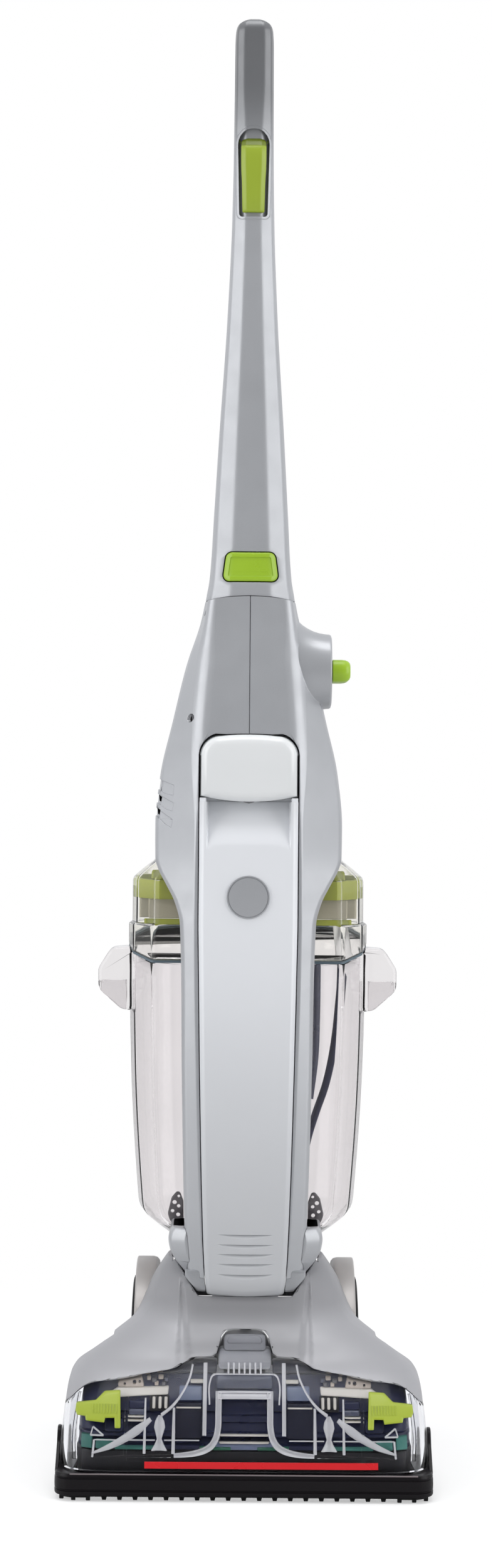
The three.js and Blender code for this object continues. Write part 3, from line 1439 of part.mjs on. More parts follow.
const triggerSide = outline([
  [-11.5, TRIGGER.top],
  [-17, TRIGGER.top - 10],
  [-21.5, TRIGGER.top - 13],
  [-22, TRIGGER.top - 28],
  [-19.5, TRIGGER.low + 12],
  [-16.5, TRIGGER.low],
  [-12.5, TRIGGER.low],
  [-11, TRIGGER.low + 14],
  [-7.5, TRIGGER.top - 12],
  [-7.5, TRIGGER.top - 4],
]);
const triggerFace = outline([
  [-TRIGGER.half + 0.6, TRIGGER.low, 2],
  [TRIGGER.half - 0.6, TRIGGER.low, 2],
  [TRIGGER.half + 0.6, TRIGGER.top, 9],
  [-TRIGGER.half - 0.6, TRIGGER.top, 9],
]);
add(
  "handle",
  "trigger",
  cut(
    join(
      prism(triggerSide, "x", [-20, 20]).intersect(prism(triggerFace, "y", [-40, 0])),
      rod(1.8, triggerPin, 8, "x", [0, TRIGGER.pivotY, TRIGGER.pivotZ]),
      box([ROD.x - 3.2, ROD.x + 2.8], [TRIGGER.pivotY, ROD.y + 2.6], leverZ),
    ),
    rod(ROD.radius + 0.8, [TRIGGER.pivotZ - 5, TRIGGER.pivotZ + 5], 8, "z", [ROD.x, ROD.y, 0]),
  ),
  green,
);
add(
  "handle",
  "trigger_rod",
  lathe(
    [
      [0, ROD.base],
      [ROD.radius, ROD.base],
      [ROD.radius, TRIGGER.pivotZ + 1.6],
      [ROD.radius + 1.4, TRIGGER.pivotZ + 1.6],
      [ROD.radius + 1.4, TRIGGER.pivotZ + 3.2],
      [0, TRIGGER.pivotZ + 3.2],
    ],
    8,
    "z",
    [ROD.x, ROD.y, 0],
  ),
  steel,
);
// A coil spring along y, closed at both ends by the start and end of its own wire.
const SPRING = { turns: 3, perTurn: 6, wire: 0.7 };
function spring([x, z], [from, to], radius) {
  const { turns, perTurn, wire } = SPRING;
  const steps = turns * perTurn;
  const points = Array.from({ length: steps + 1 }, (_, i) => {
    const angle = (2 * Math.PI * i) / perTurn;
    const y = mix(from + wire, to - wire, i / steps);
    return [x + radius * Math.cos(angle), y, z + radius * Math.sin(angle)];
  });
  return tube(points, wire, 2, steps);
}
add("handle", "trigger_spring", spring([-2.5, SPRING_Z.trigger], [-10.2, 1 - GAP], 3), steel);
add("handle", "button_spring", spring([-6, SPRING_Z.button], [BUTTON.back + GAP, 3 - GAP], 3.4), steel);
const HOOK_NECK = handleMiddle(HOOK_Z) + 18.5;
const HOOK_TIP = 48;
const hookArm = outline([
  [HOOK_NECK, HOOK_Z - 6],
  [HOOK_TIP, HOOK_Z - 4],
  [HOOK_TIP, HOOK_Z + 34],
  [HOOK_TIP - 5, HOOK_Z + 34],
  [HOOK_TIP - 6, HOOK_Z + 5],
  [HOOK_NECK, HOOK_Z + 6],
]);
add(
  "handle",
  "upper_cord_hook",
  join(
    prism(hookArm, "x", [-7, 7]),
    rod(UPPER_HOOK.radius, [19, 22], 16, "y", [0, 0, HOOK_Z]),
    rod(4, [10, 21], 12, "y", [0, 0, HOOK_Z]),
  ),
  darkGrey,
);
const lowerHook = outline([
  [50, 604],
  [92, 600],
  [92, 564],
  [87, 564],
  [86, 590],
  [50, 590],
]);
add("upright", "lower_cord_hook", cut(prism(lowerHook, "x", [-9, 9]), upperHousing(GAP)), darkGrey);

// ---------------------------------------------------------------- placement
// The origin is on the floor, midway between the bumper's front and the rearmost point of the recovery tank.
pieces.root.position.y = -(BUMPER_FRONT + RECOVERY_REAR) / 2;

export default pieces.root;
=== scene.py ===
"""Looks of the wet dry floor scrubber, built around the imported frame. Shapes are drawn in the part's own
millimetres and turned to metres in the row frame when a piece is made."""

import json
import math

import bmesh
import bpy
import numpy as np
from mathutils import Matrix, Vector


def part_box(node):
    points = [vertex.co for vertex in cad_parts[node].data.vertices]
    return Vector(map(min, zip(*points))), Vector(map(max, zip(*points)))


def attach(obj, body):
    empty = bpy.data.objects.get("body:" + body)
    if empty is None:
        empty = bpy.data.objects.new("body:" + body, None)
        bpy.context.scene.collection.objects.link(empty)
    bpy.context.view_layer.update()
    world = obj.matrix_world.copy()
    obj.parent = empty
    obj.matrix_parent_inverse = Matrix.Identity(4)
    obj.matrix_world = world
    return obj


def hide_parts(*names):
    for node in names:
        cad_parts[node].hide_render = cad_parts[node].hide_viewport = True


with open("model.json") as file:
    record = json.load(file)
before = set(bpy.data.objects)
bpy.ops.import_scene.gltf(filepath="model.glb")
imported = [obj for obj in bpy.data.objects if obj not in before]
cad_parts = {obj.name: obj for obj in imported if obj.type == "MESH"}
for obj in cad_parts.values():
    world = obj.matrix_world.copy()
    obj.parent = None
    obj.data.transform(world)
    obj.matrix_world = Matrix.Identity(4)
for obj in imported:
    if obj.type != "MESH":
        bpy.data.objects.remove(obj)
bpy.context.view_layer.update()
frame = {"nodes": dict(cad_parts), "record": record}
scene = bpy.context.scene

# The drawing's y = 0 is the plane of the body; the axle lies 40 mm behind it.
AXLE_LOW, AXLE_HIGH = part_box("wheel_axle")
AXLE_Y, AXLE_Z = 40.0, 1000 * (AXLE_LOW.z + AXLE_HIGH.z) / 2
SHIFT = 1000 * (AXLE_LOW.y + AXLE_HIGH.y) / 2 - AXLE_Y
SIDES = (("left", -1), ("right", 1))


# ------------------------------------------------------------ shader nodes
def add(tree, kind, **values):
    """A new shader node with some of its inputs set."""
    node = tree.nodes.new(f"ShaderNode{kind}")
    for name, value in values.items():
        node.inputs[name.replace("_", " ")].default_value = value
    return node


def eased(tree, source, places, values=(0.0, 1.0), kind="SMOOTHSTEP"):
    """A value that goes from one to another while the source goes from one place to another."""
    node = add(tree, "MapRange", From_Min=places[0], From_Max=places[1], To_Min=values[0], To_Max=values[1])
    node.interpolation_type = kind
    tree.links.new(source, node.inputs["Value"])
    return node.outputs["Result"]


def seen_directly(tree):
    """One for what is seen straight on or through clear plastic, nought for light and reflections."""
    rays = add(tree, "LightPath")
    seen = add(tree, "Math")
    seen.operation = "MAXIMUM"
    tree.links.new(rays.outputs["Is Camera Ray"], seen.inputs[0])
    tree.links.new(rays.outputs["Is Transmission Ray"], seen.inputs[1])
    return seen.outputs[0]


def mixed(tree, share, first, second):
    """The first shader where share is nought and the second where it is one."""
    node = add(tree, "MixShader")
    for place, source in enumerate((share, first.outputs[0], second.outputs[0])):
        tree.links.new(source, node.inputs[place])
    return node


def multiplied(tree, tone, factor):
    """One colour multiplied by another."""
    blend = add(tree, "Mix")
    blend.data_type, blend.blend_type = "RGBA", "MULTIPLY"
    blend.inputs["Factor"].default_value = 1.0
    tree.links.new(tone, blend.inputs["A"])
    tree.links.new(factor, blend.inputs["B"])
    return blend.outputs["Result"]


def shaded(tree, tone, axis, low, high, at_low, at_high):
    """Multiplies a colour by a value that changes between two places along an axis, in metres, to paint shade
    into it.
    """
    split = add(tree, "SeparateXYZ")
    tree.links.new(add(tree, "TexCoord").outputs["Object"], split.inputs[0])
    place = split.outputs[axis]
    if axis == "X":
        aside = add(tree, "Math")
        aside.operation = "ABSOLUTE"
        tree.links.new(place, aside.inputs[0])
        place = aside.outputs[0]
    return multiplied(tree, tone, eased(tree, place, (low, high), (at_low, at_high)))


def noise(tree, scale, detail=3.0):
    """Noise in object space, as a value round 0.5."""
    texture = add(tree, "TexNoise", Scale=scale, Detail=detail)
    tree.links.new(add(tree, "TexCoord").outputs["Object"], texture.inputs["Vector"])
    return texture.outputs["Fac"]


NOISE_LOW, NOISE_HIGH = 0.3, 0.7  # nearly all of the noise lies between these


def ramp(tree, source, low, high):
    """Noise turned into a colour between two colours."""
    node = add(tree, "ValToRGB")
    first, last = node.color_ramp.elements
    first.position, last.position = NOISE_LOW, NOISE_HIGH
    first.color, last.color = (*low, 1), (*high, 1)
    tree.links.new(source, node.inputs["Fac"])
    return node.outputs["Color"]


def spread(tree, source, low, high):
    """Noise turned into a value between two values."""
    return eased(tree, source, (NOISE_LOW, NOISE_HIGH), (low, high), "LINEAR")


# ------------------------------------------------------------ camera, light, ground
LENS, SENSOR = 62.64, 36.0
CAMERA_ASIDE, CAMERA_BACK, CAMERA_HEIGHT, CAMERA_ROLL = -0.0024, 2.2, 0.540, 0.44
FLOOR_REACH, FLOOR_TONE, FLOOR_GLOW = 30.0, (0.62, 0.62, 0.62, 1), 0.45


def make_camera():
    """A level camera ahead of the machine, rolled a little."""
    data = bpy.data.cameras.new("camera")
    data.lens = LENS
    data.sensor_width = SENSOR
    data.clip_end = 2 * FLOOR_REACH
    camera = bpy.data.objects.new("camera", data)
    scene.collection.objects.link(camera)
    place = Matrix.Translation((CAMERA_ASIDE, -CAMERA_BACK + SHIFT / 1000, CAMERA_HEIGHT))
    level = Matrix.Rotation(math.radians(90), 4, "X")
    camera.matrix_world = place @ level @ Matrix.Rotation(math.radians(CAMERA_ROLL), 4, "Z")
    scene.camera = camera


def area_light(name, place, target, size, watts):
    """A rectangular lamp at a place, turned to a target."""
    data = bpy.data.lights.new(name, "AREA")
    data.shape = "RECTANGLE"
    data.size, data.size_y = size
    data.energy = watts
    lamp = bpy.data.objects.new(name, data)
    scene.collection.objects.link(lamp)
    lamp.location = place
    lamp.rotation_euler = (Vector(target) - Vector(place)).to_track_quat("-Z", "Y").to_euler()


def make_world():
    """White for what looks straight through; for light and reflections a room that is dimmer ahead."""
    world = bpy.data.worlds.new("world")
    scene.world = world
    world.use_nodes = True
    tree = world.node_tree
    tree.nodes.clear()
    white = add(tree, "Background", Color=(1, 1, 1, 1), Strength=1.0)
    fill = add(tree, "Background", Color=(0.97, 0.98, 1.0, 1))
    split = add(tree, "SeparateXYZ")
    tree.links.new(add(tree, "TexCoord").outputs["Generated"], split.inputs[0])
    tree.links.new(eased(tree, split.outputs["Y"], (-0.95, 0.1), (0.3, 0.82)), fill.inputs["Strength"])
    both = mixed(tree, seen_directly(tree), fill, white)
    tree.links.new(both.outputs[0], add(tree, "OutputWorld").inputs["Surface"])


def make_floor():
    """A pale floor that keeps the machine's shadow and fades into the white further off."""
    mesh = bpy.data.meshes.new("floor")
    far = FLOOR_REACH
    mesh.from_pydata([(-far, -far, 0), (far, -far, 0), (far, far, 0), (-far, far, 0)], [], [(0, 1, 2, 3)])
    floor = bpy.data.objects.new("floor", mesh)
    scene.collection.objects.link(floor)
    material = bpy.data.materials.new("floor")
    material.use_nodes = True
    tree = material.node_tree
    tree.nodes.clear()
    near, plain = add(tree, "BsdfDiffuse", Color=FLOOR_TONE), add(tree, "BsdfDiffuse", Color=FLOOR_TONE)
    glow, paper = add(tree, "Emission", Strength=FLOOR_GLOW), add(tree, "Emission", Strength=1.0)
    lit = add(tree, "AddShader")
    tree.links.new(near.outputs[0], lit.inputs[0])
    tree.links.new(glow.outputs[0], lit.inputs[1])
    length = add(tree, "VectorMath")
    length.operation = "LENGTH"
    tree.links.new(add(tree, "TexCoord").outputs["Object"], length.inputs[0])
    seen_floor = mixed(tree, eased(tree, length.outputs["Value"], (0.25, 0.8)), lit, paper)
    both = mixed(tree, seen_directly(tree), plain, seen_floor)
    tree.links.new(both.outputs[0], add(tree, "OutputMaterial").inputs["Surface"])
    mesh.materials.append(material)


make_camera()
make_world()
make_floor()
area_light("soft_left", (-2.3, -1.15, 1.0), (0, 0, 0.6), (2.0, 2.4), 34)
area_light("soft_right", (2.3, -1.15, 1.0), (0, 0, 0.6), (2.0, 2.4), 34)
area_light("soft_top", (0, -0.3, 3.0), (0, 0, 0.5), (1.6, 1.2), 22)
scene.view_settings.view_transform = "Standard"


# ------------------------------------------------------------ materials
def principled(name):
    """A new material, its tree and its main shader."""
    material = bpy.data.materials.new(name)
    material.use_nodes = True
    tree = material.node_tree
    return material, tree, tree.nodes["Principled BSDF"]


def linear(hex_color):
    """A colour as the renderer counts it, from six hexadecimal digits."""
    parts = [int(hex_color[i : i + 2], 16) / 255 for i in (0, 2, 4)]
    return tuple(c / 12.92 if c <= 0.04045 else ((c + 0.055) / 1.055) ** 2.4 for c in parts)


def finished(material, tree, shader, tone, painted_shades, rough, relief, strength, values):
    """Gives a shader its colour with its painted shade, its gloss, its fine relief and its plain values."""
    for fall in painted_shades:
        tone = shaded(tree, tone, *fall)
    bump = add(tree, "Bump", Strength=strength, Distance=0.001)
    tree.links.new(relief, bump.inputs["Height"])
    for source, name in ((tone, "Base Color"), (rough, "Roughness"), (bump.outputs["Normal"], "Normal")):
        tree.links.new(source, shader.inputs[name])
    for name, value in values.items():
        shader.inputs[name].default_value = value
    return material


def moulded(name, color, rough, mottle=0.05, grain=700.0, bump=0.02, metallic=0.0, flake=0.0, coat=0.0,
            rough_vary=0.05, shine=0.5, painted_shades=()):
    """Moulded or painted plastic: slow colour drift, a fine surface grain, uneven gloss and any painted
    shade.
    """
    material, tree, shader = principled(name)
    base = linear(color)
    low, high = [c * (1 - mottle) for c in base], [min(1, c * (1 + mottle)) for c in base]
    tone = ramp(tree, noise(tree, 9.0, 4.0), low, high)
    if flake:
        tone = multiplied(tree, tone, ramp(tree, noise(tree, 5200.0, 1.0), (1 - flake,) * 3, (1.0,) * 3))
    gloss = spread(tree, noise(tree, 60.0), rough - rough_vary, rough + rough_vary)
    values = {"Metallic": metallic, "Specular IOR Level": shine, "Coat Weight": coat, "Coat Roughness": 0.12}
    return finished(material, tree, shader, tone, painted_shades, gloss, noise(tree, grain, 2.0), bump, values)


def glassy(name, tint, rough=0.03, wave=0.15, ior=1.49, clear=1.0, shine=1.0, painted_shades=()):
    """Clear moulded plastic with faint flow waves and any painted shade."""
    material, tree, shader = principled(name)
    tone = ramp(tree, noise(tree, 14.0), [c * 0.97 for c in tint], tint)
    gloss = spread(tree, noise(tree, 90.0), rough * 0.6, rough * 1.6)
    values = {"Transmission Weight": clear, "Specular Tint": (shine, shine, shine, 1), "IOR": ior}
    return finished(material, tree, shader, tone, painted_shades, gloss, noise(tree, 24.0, 1.5), wave, values)


LOOKS = {
    "silver_shell": moulded("silver_paint", "b4b6ba", 0.34, 0.04, 900, 0.02, 0.35, 0.10, 0.25),
    # Painted shadow of the tank: the hood is darker in its middle strip and darker towards its top, under the
    # tank's lower end.
    "hood_grey": moulded("hood_paint", "a8a8ac", 0.4, 0.04, 900, 0.02, 0.15, 0.06,
                          painted_shades=[("X", 0.036, 0.056, 0.78, 1.0), ("Z", 0.117, 0.134, 1.0, 0.76)]),
    # Painted shade: the grip darkens towards its top, where its front leans forward and faces down.
    "grip_silver_painted_shade": moulded("grip_paint", "b4b6ba", 0.36, 0.04, 900, 0.02, 0.3, 0.10, 0.15,
                            painted_shades=[("Z", 1.02, 1.1, 1.0, 0.42)]),
    # Painted shade: the top of the trigger, under the grip's overhang, is half as bright.
    "trigger_green_painted_shade": moulded("trigger_plastic", "9cb034", 0.34, 0.05, 700, 0.02,
                              painted_shades=[("Z", 1.0495, 1.0515, 1.0, 0.5)]),
    "dark_grey": moulded("dark_grey_plastic", "77777a", 0.5, 0.05, 500, 0.08),
    "white_shell": moulded("white_gloss", "e6e8e9", 0.2, 0.015, 900, 0.01, coat=0.3),
    "green_trim": moulded("green_plastic", "9fc32f", 0.32, 0.05, 700, 0.02),
    "black_plastic": moulded("black_plastic", "1c1a1e", 0.42, 0.08, 900, 0.12, shine=0.25),
    "navy_plastic": moulded("navy_plastic", "1d2140", 0.3, 0.12, 500, 0.05, shine=0.25),
    "slate_plastic": moulded("slate_plastic", "4c5064", 0.3, 0.1, 500, 0.05),
    "blue_plastic": moulded("blue_plastic", "6d7893", 0.3, 0.1, 500, 0.05),
    "grey_plastic": moulded("grey_plastic", "6a686c", 0.4, 0.08, 500, 0.05),
    "cream_plastic": moulded("cream_plastic", "e6e0d4", 0.3, 0.1, 500, 0.03),
    "red_film": moulded("red_film", "d01c24", 0.3, 0.03, 900, 0.01),
    "yoke_grey": moulded("yoke_plastic", "8f8f93", 0.45, 0.05, 500, 0.06),
    "wheel_grey": moulded("wheel_plastic", "6e6d70", 0.45, 0.06, 500, 0.06),
    "fender_silver": moulded("fender_paint", "b9b5b3", 0.36, 0.05, 900, 0.02, 0.3, 0.08),
    "brush_disc": moulded("brush_disc", "55706a", 0.45, 0.08, 500, 0.05),
    "clear_plastic": glassy("clear_plastic", (0.93, 0.94, 0.955)),
    # Painted shade: the clean tank darkens towards its foot, and again in the finger recess just under the
    # cap.
    "tank_white_painted_shade": moulded("tank_gloss", "e9ebef", 0.2, 0.015, 900, 0.01, coat=0.25,
                           painted_shades=[("Z", 0.15, 0.46, 0.66, 1.0), ("Z", 0.497, 0.522, 1.0, 0.88)]),
    # Painted shade: the clear bowl is a little darker towards its sides.
    "bowl_clear_painted_shade": glassy("bowl_clear_painted_shade", (0.87, 0.85, 0.858), ior=1.34, painted_shades=[("X", 0.068, 0.088, 1.0, 0.95)]),
    "lid_clear": glassy("lid_clear", (0.93, 0.92, 0.89), ior=1.3),
    "filter_green": moulded("filter_green", "a9b23a", 0.5, 0.2, 500, 0.1),
    "filter_pale": moulded("filter_pale", "bdb8a6", 0.6, 0.15, 500, 0.1),
    "seal_grey": moulded("seal_grey", "5a6a74", 0.45, 0.1, 500, 0.05),
    "latch_green": moulded("latch_green", "9dad33", 0.34, 0.08, 700, 0.02),
    "screw_steel": moulded("screw_steel", "58585d", 0.5, 0.1, 500, 0.05, 0.5),
    # Painted highlight: the lighter strip along the bumper's top front edge.
    "bumper_edge_highlight": moulded("bumper_edge_highlight", "6f6668", 0.4, 0.15, 500, 0.05),
    "cover_clear": glassy("cover_clear", (0.9, 0.91, 0.94), shine=0.1),
    "edge_clear": glassy("edge_clear", (0.95, 0.95, 0.99), 0.12, wave=0.05, clear=0.62),
    "bumper_black": moulded("bumper_plastic", "141114", 0.34, 0.1, 900, 0.08, shine=0.18),
    "ink_plastic": moulded("ink_plastic", "1b1c2e", 0.35, 0.12, 500, 0.05, shine=0.2),
    "beige_plastic": moulded("beige_plastic", "c4b6a8", 0.35, 0.1, 500, 0.03),
    "deep_green": moulded("deep_green", "0e5a40", 0.4, 0.12, 500, 0.05),
    "milky_plastic": glassy("milky_plastic", (0.93, 0.94, 0.95), 0.35),
    "rubber": moulded("rubber", "161617", 0.7, 0.12, 600, 0.2, shine=0.3),
    "bristle": moulded("bristle", "3f7d72", 0.6, 0.25, 1500, 0.3),
    "steel": moulded("steel", "a2a6ab", 0.3, 0.08, 300, 0.05, 0.95),
}
SLOT_OF = {sub["node"]: sub["material_slot"] for sub in frame["record"]["subparts"]}
for node, cad in frame["nodes"].items():
    cad.data.materials.clear()
    cad.data.materials.append(LOOKS[SLOT_OF[node]])


# ------------------------------------------------------------ shape tools
def smooth_through(xs, ys, x):
    """Monotone cubic curve through the points (xs, ys), read at x. Each column of ys is its own curve."""
    xs, ys = np.asarray(xs, float), np.asarray(ys, float)
    if ys.ndim == 1:
        return smooth_through(xs, ys[:, None], x)[..., 0]
    gap = np.diff(xs)[:, None]
    slope = np.diff(ys, axis=0) / gap
    tangent = np.zeros_like(ys)
    tangent[0], tangent[-1] = slope[0], slope[-1]
    before, after = slope[:-1], slope[1:]
    one, two = 2 * gap[1:] + gap[:-1], gap[1:] + 2 * gap[:-1]
    same = before * after > 0
    safe_before, safe_after = np.where(same, before, 1), np.where(same, after, 1)
    tangent[1:-1] = np.where(same, (one + two) / (one / safe_before + two / safe_after), 0)
    x = np.atleast_1d(np.asarray(x, float))
    i = np.clip(np.searchsorted(xs, x, side="right") - 1, 0, len(xs) - 2)
    t = ((x - xs[i]) / gap[i, 0])[:, None]
    h = gap[i]
    low = (1 + 2 * t) * (1 - t) ** 2 * ys[i] + t * (1 - t) ** 2 * h * tangent[i]
    return low + t * t * (3 - 2 * t) * ys[i + 1] + t * t * (t - 1) * h * tangent[i + 1]


def smoothstep(x, low, high):
    """Nought below low, one above high and an even rise between them."""
    t = np.clip((x - low) / (high - low), 0, 1)
    return t * t * (3 - 2 * t)


def rounded(corners, steps=5, rim=0.25):
    """A closed outline from corners (u, v, radius), rounded by arcs with a support point on either side."""
    points = []
    count = len(corners)
    for i, (u, v, radius) in enumerate(corners):
        here = np.array([u, v], float)
        back = np.array(corners[i - 1][:2], float) - here
        ahead = np.array(corners[(i + 1) % count][:2], float) - here
        back_length, ahead_length = np.linalg.norm(back), np.linalg.norm(ahead)
        back, ahead = back / back_length, ahead / ahead_length
        turn = math.pi - math.acos(max(-1, min(1, float(back @ ahead))))
        reach = min(max(radius, 0.01) * math.tan(turn / 2), 0.45 * back_length, 0.45 * ahead_length)
        into, out = here + back * reach, here + ahead * reach
        points.append(into + back * rim * min(1, reach))
        for k in range(steps + 1):
            t = k / steps
            weight = math.cos(turn / 2)
            a, b, c = (1 - t) ** 2, 2 * t * (1 - t) * weight, t * t
            points.append((a * into + b * here + c * out) / (a + b + c))
        points.append(out + ahead * rim * min(1, reach))
    return np.array(points)


def inset(corners, distance):
    """The same convex outline, counter-clockwise, moved inwards by a distance."""
    moved = []
    count = len(corners)
    for i, (u, v, radius) in enumerate(corners):
        here = np.array([u, v], float)
        back = here - np.array(corners[i - 1][:2], float)
        ahead = np.array(corners[(i + 1) % count][:2], float) - here
        normals = [np.array([-d[1], d[0]]) / np.linalg.norm(d) for d in (back, ahead)]
        shift = (normals[0] + normals[1]) * distance / (1 + float(normals[0] @ normals[1]))
        moved.append((*(here + shift), max(radius - distance, 0.05)))
    return moved


def narrowed(corners, distance, steps=5):
    """An outline moved inwards by a distance, its corners rounded."""
    return rounded(inset(corners, distance) if distance else corners, steps)


def at_level(flat, level):
    """Points (x, y) of a section, each with its height."""
    return np.column_stack([flat, np.full(len(flat), level)])


def skin(rings, caps=True):
    """Vertices and faces through rings of equal counts, with flat ends unless they are left out."""
    rings = np.asarray(rings, float)
    rows, count = rings.shape[:2]
    faces = []
    for r in range(rows - 1):
        for i in range(count):
            j = (i + 1) % count
            faces.append((r * count + i, r * count + j, (r + 1) * count + j, (r + 1) * count + i))
    if caps:
        faces.append(tuple(range(count))[::-1])
        faces.append(tuple(range((rows - 1) * count, rows * count)))
    return rings.reshape(-1, 3), faces


def placed(points, axis):
    """Columns u, v, w as x, y, z: w runs along the named axis."""
    order = {"x": (2, 0, 1), "y": (0, 2, 1), "z": (0, 1, 2)}[axis]
    return np.asarray(points)[..., order]


def prism(corners, axis, levels, steps=5):
    """An outline extruded along an axis. levels lists (inset, place along the axis)."""
    return skin(placed([at_level(narrowed(corners, narrow, steps), level) for narrow, level in levels], axis))


def extruded(outline, axis, levels):
    """A sharp outline extruded along an axis."""
    return skin(placed([[(u, v, level) for u, v in outline] for level in levels], axis))


def turned(profile, axis, at, segments=48):
    """A profile of (radius, place along the axis) turned about the axis through `at`."""
    rings = []
    for k in range(segments):
        angle = 2 * math.pi * k / segments
        rings.append([(r * math.cos(angle), r * math.sin(angle), w) for r, w in profile])
    points = placed(np.array(rings), axis) + np.array(at, float)
    rows, count = segments, len(profile)
    faces = [
        (r * count + i, r * count + i + 1, ((r + 1) % rows) * count + i + 1, ((r + 1) % rows) * count + i)
        for r in range(rows)
        for i in range(count - 1)
    ]
    return points.reshape(-1, 3), faces


def round_bar(radius, start, end, axis, at, segments=48):
    """A round bar about the axis through `at`."""
    return turned([(0, start), (radius, start), (radius, end), (0, end)], axis, at, segments)


def tube(path, radius, sides=12):
    """A tube along points, closed at both ends. radius may be one number or one per point."""
    path = np.asarray(path, float)
    radii = np.broadcast_to(np.asarray(radius, float), (len(path),))
    along = np.gradient(path, axis=0)
    along /= np.linalg.norm(along, axis=1)[:, None]
    up = np.array([0.0, 0.0, 1.0]) if abs(along[0][2]) < 0.9 else np.array([1.0, 0.0, 0.0])
    rings = []
    for point, way, r in zip(path, along, radii):
        side = np.cross(way, up)
        side /= np.linalg.norm(side)
        up = np.cross(side, way)
        angles = 2 * np.pi * np.arange(sides) / sides
        rings.append(point + r * (np.outer(np.cos(angles), side) + np.outer(np.sin(angles), up)))
    return skin(rings)


def curve_through(points, count=40):
    """A smooth curve through points."""
    points = np.asarray(points, float)
    places = np.concatenate([[0], np.cumsum(np.linalg.norm(np.diff(points, axis=0), axis=1))])
    tangents = np.gradient(points, places, axis=0)
    spots = np.linspace(0, places[-1], count)
    i = np.clip(np.searchsorted(places, spots, side="right") - 1, 0, len(points) - 2)
    h = (places[i + 1] - places[i])[:, None]
    t = ((spots - places[i]) / h[:, 0])[:, None]
    low = (1 + 2 * t) * (1 - t) ** 2 * points[i] + t * (1 - t) ** 2 * h * tangents[i]
    return low + t * t * (3 - 2 * t) * points[i + 1] + t * t * (t - 1) * h * tangents[i + 1]


def to_object(name, shape):
    """A bare object from drawing millimetres."""
    vertices, faces = shape
    points = (np.asarray(vertices, float) + (0, SHIFT, 0)) / 1000
    mesh = bpy.data.meshes.new(name)
    mesh.from_pydata(points.tolist(), [], faces)
    mesh.validate()
    obj = bpy.data.objects.new(name, mesh)
    scene.collection.objects.link(obj)
    return obj


def clean(obj, merge=1e-6):
    """Merges corners that coincide and turns the faces outwards."""
    work = bmesh.new()
    work.from_mesh(obj.data)
    bmesh.ops.remove_doubles(work, verts=work.verts, dist=merge)
    bmesh.ops.dissolve_degenerate(work, edges=work.edges, dist=merge)
    bmesh.ops.recalc_face_normals(work, faces=work.faces)
    work.to_mesh(obj.data)
    work.free()


def settle(obj):
    """Applies the object's modifiers."""
    graph = bpy.context.evaluated_depsgraph_get()
    mesh = bpy.data.meshes.new_from_object(obj.evaluated_get(graph))
    obj.modifiers.clear()
    obj.data = mesh


def solid(name, shape):
    """A clean object, to be worked on."""
    obj = to_object(name, shape)
    clean(obj)
    return obj


def use_up(obj, operation, tool):
    """Applies another object to obj and removes it."""
    change = obj.modifiers.new("boolean", "BOOLEAN")
    change.operation, change.solver, change.object = operation, "EXACT", tool
    settle(obj)
    bpy.data.objects.remove(tool)


def combine(obj, operation, *shapes):
    """Joins shapes to obj, or cuts them from it, or keeps only what they share."""
    for shape in shapes:
        use_up(obj, operation, solid("tool", shape))


def taken(obj):
    """The object's shape in drawing millimetres; the object is removed."""
    vertices = np.array([v.co for v in obj.data.vertices]) * 1000 - (0, SHIFT, 0)
    shape = (vertices, [tuple(f.vertices) for f in obj.data.polygons])
    bpy.data.objects.remove(obj)
    return shape


def piece(name, shape, look, body, *stands_for, cuts=(), joins=(), keeps=(), bevel=0.0, slot=None,
          smooth=35.0, after=None, even=False):
    """A finished piece: shape with joins and cuts, a small bevel, smooth shading, its look and its body."""
    obj = solid(name, shape)
    combine(obj, "UNION", *joins)
    combine(obj, "INTERSECT", *keeps)
    combine(obj, "DIFFERENCE", *cuts)
    if after:
        after(obj)
    if bevel:
        edge = obj.modifiers.new("bevel", "BEVEL")
        edge.width, edge.segments, edge.limit_method = bevel / 1000, 2, "ANGLE"
        edge.angle_limit = math.radians(smooth)
        edge.use_clamp_overlap = False
        settle(obj)
    obj.data.materials.clear()
    obj.data.materials.append(LOOKS[look])
    obj.data.shade_smooth()
    obj.data.set_sharp_from_angle(angle=math.radians(smooth))
    if even:
        weigh = obj.modifiers.new("even", "WEIGHTED_NORMAL")
        weigh.keep_sharp, weigh.weight = True, 90
        settle(obj)
    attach(obj, body)
    if stands_for:
        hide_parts(*stands_for)
    return obj


def mirrored(corners):
    """An outline's right half, from its middle bottom up, made whole, counter-clockwise."""
    right = [tuple(c) for c in corners]
    left = [(-c[0], *c[1:]) for c in reversed(corners) if abs(c[0]) > 1e-6]
    return right + left


def on_side(side, corners):
    """An outline drawn for the right side, mirrored if it is for the left, still counter-clockwise."""
    return corners if side > 0 else [(-c[0], *c[1:]) for c in reversed(corners)]


def span(side, low, high):
    """A stretch of x drawn for the right side, mirrored if it is for the left."""
    return (low, high) if side > 0 else (-high, -low)


def sheet_between(line, near, far):
    """A solid from a line of (x, z), closed through further corners, between two places along y."""
    return skin([[(x, y, z) for x, z in line] for y in (near, far)])


def slab(x, y, z):
    """A plain box."""
    return extruded([(x[0], y[0]), (x[1], y[0]), (x[1], y[1]), (x[0], y[1])], "z", z)


# ------------------------------------------------------------ handle
SEAM_Z = 1000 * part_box("handle_rear")[0].z + 46.0  # the tongue hangs 46 mm into the housing
TOP_Z = 1000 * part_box("handle_rear")[1].z


def handle_middle(up):
    """The handle's middle along y at a share of its height: the top leans forwards."""
    return 1 - 25 * smoothstep(up, 0.7, 1.15)


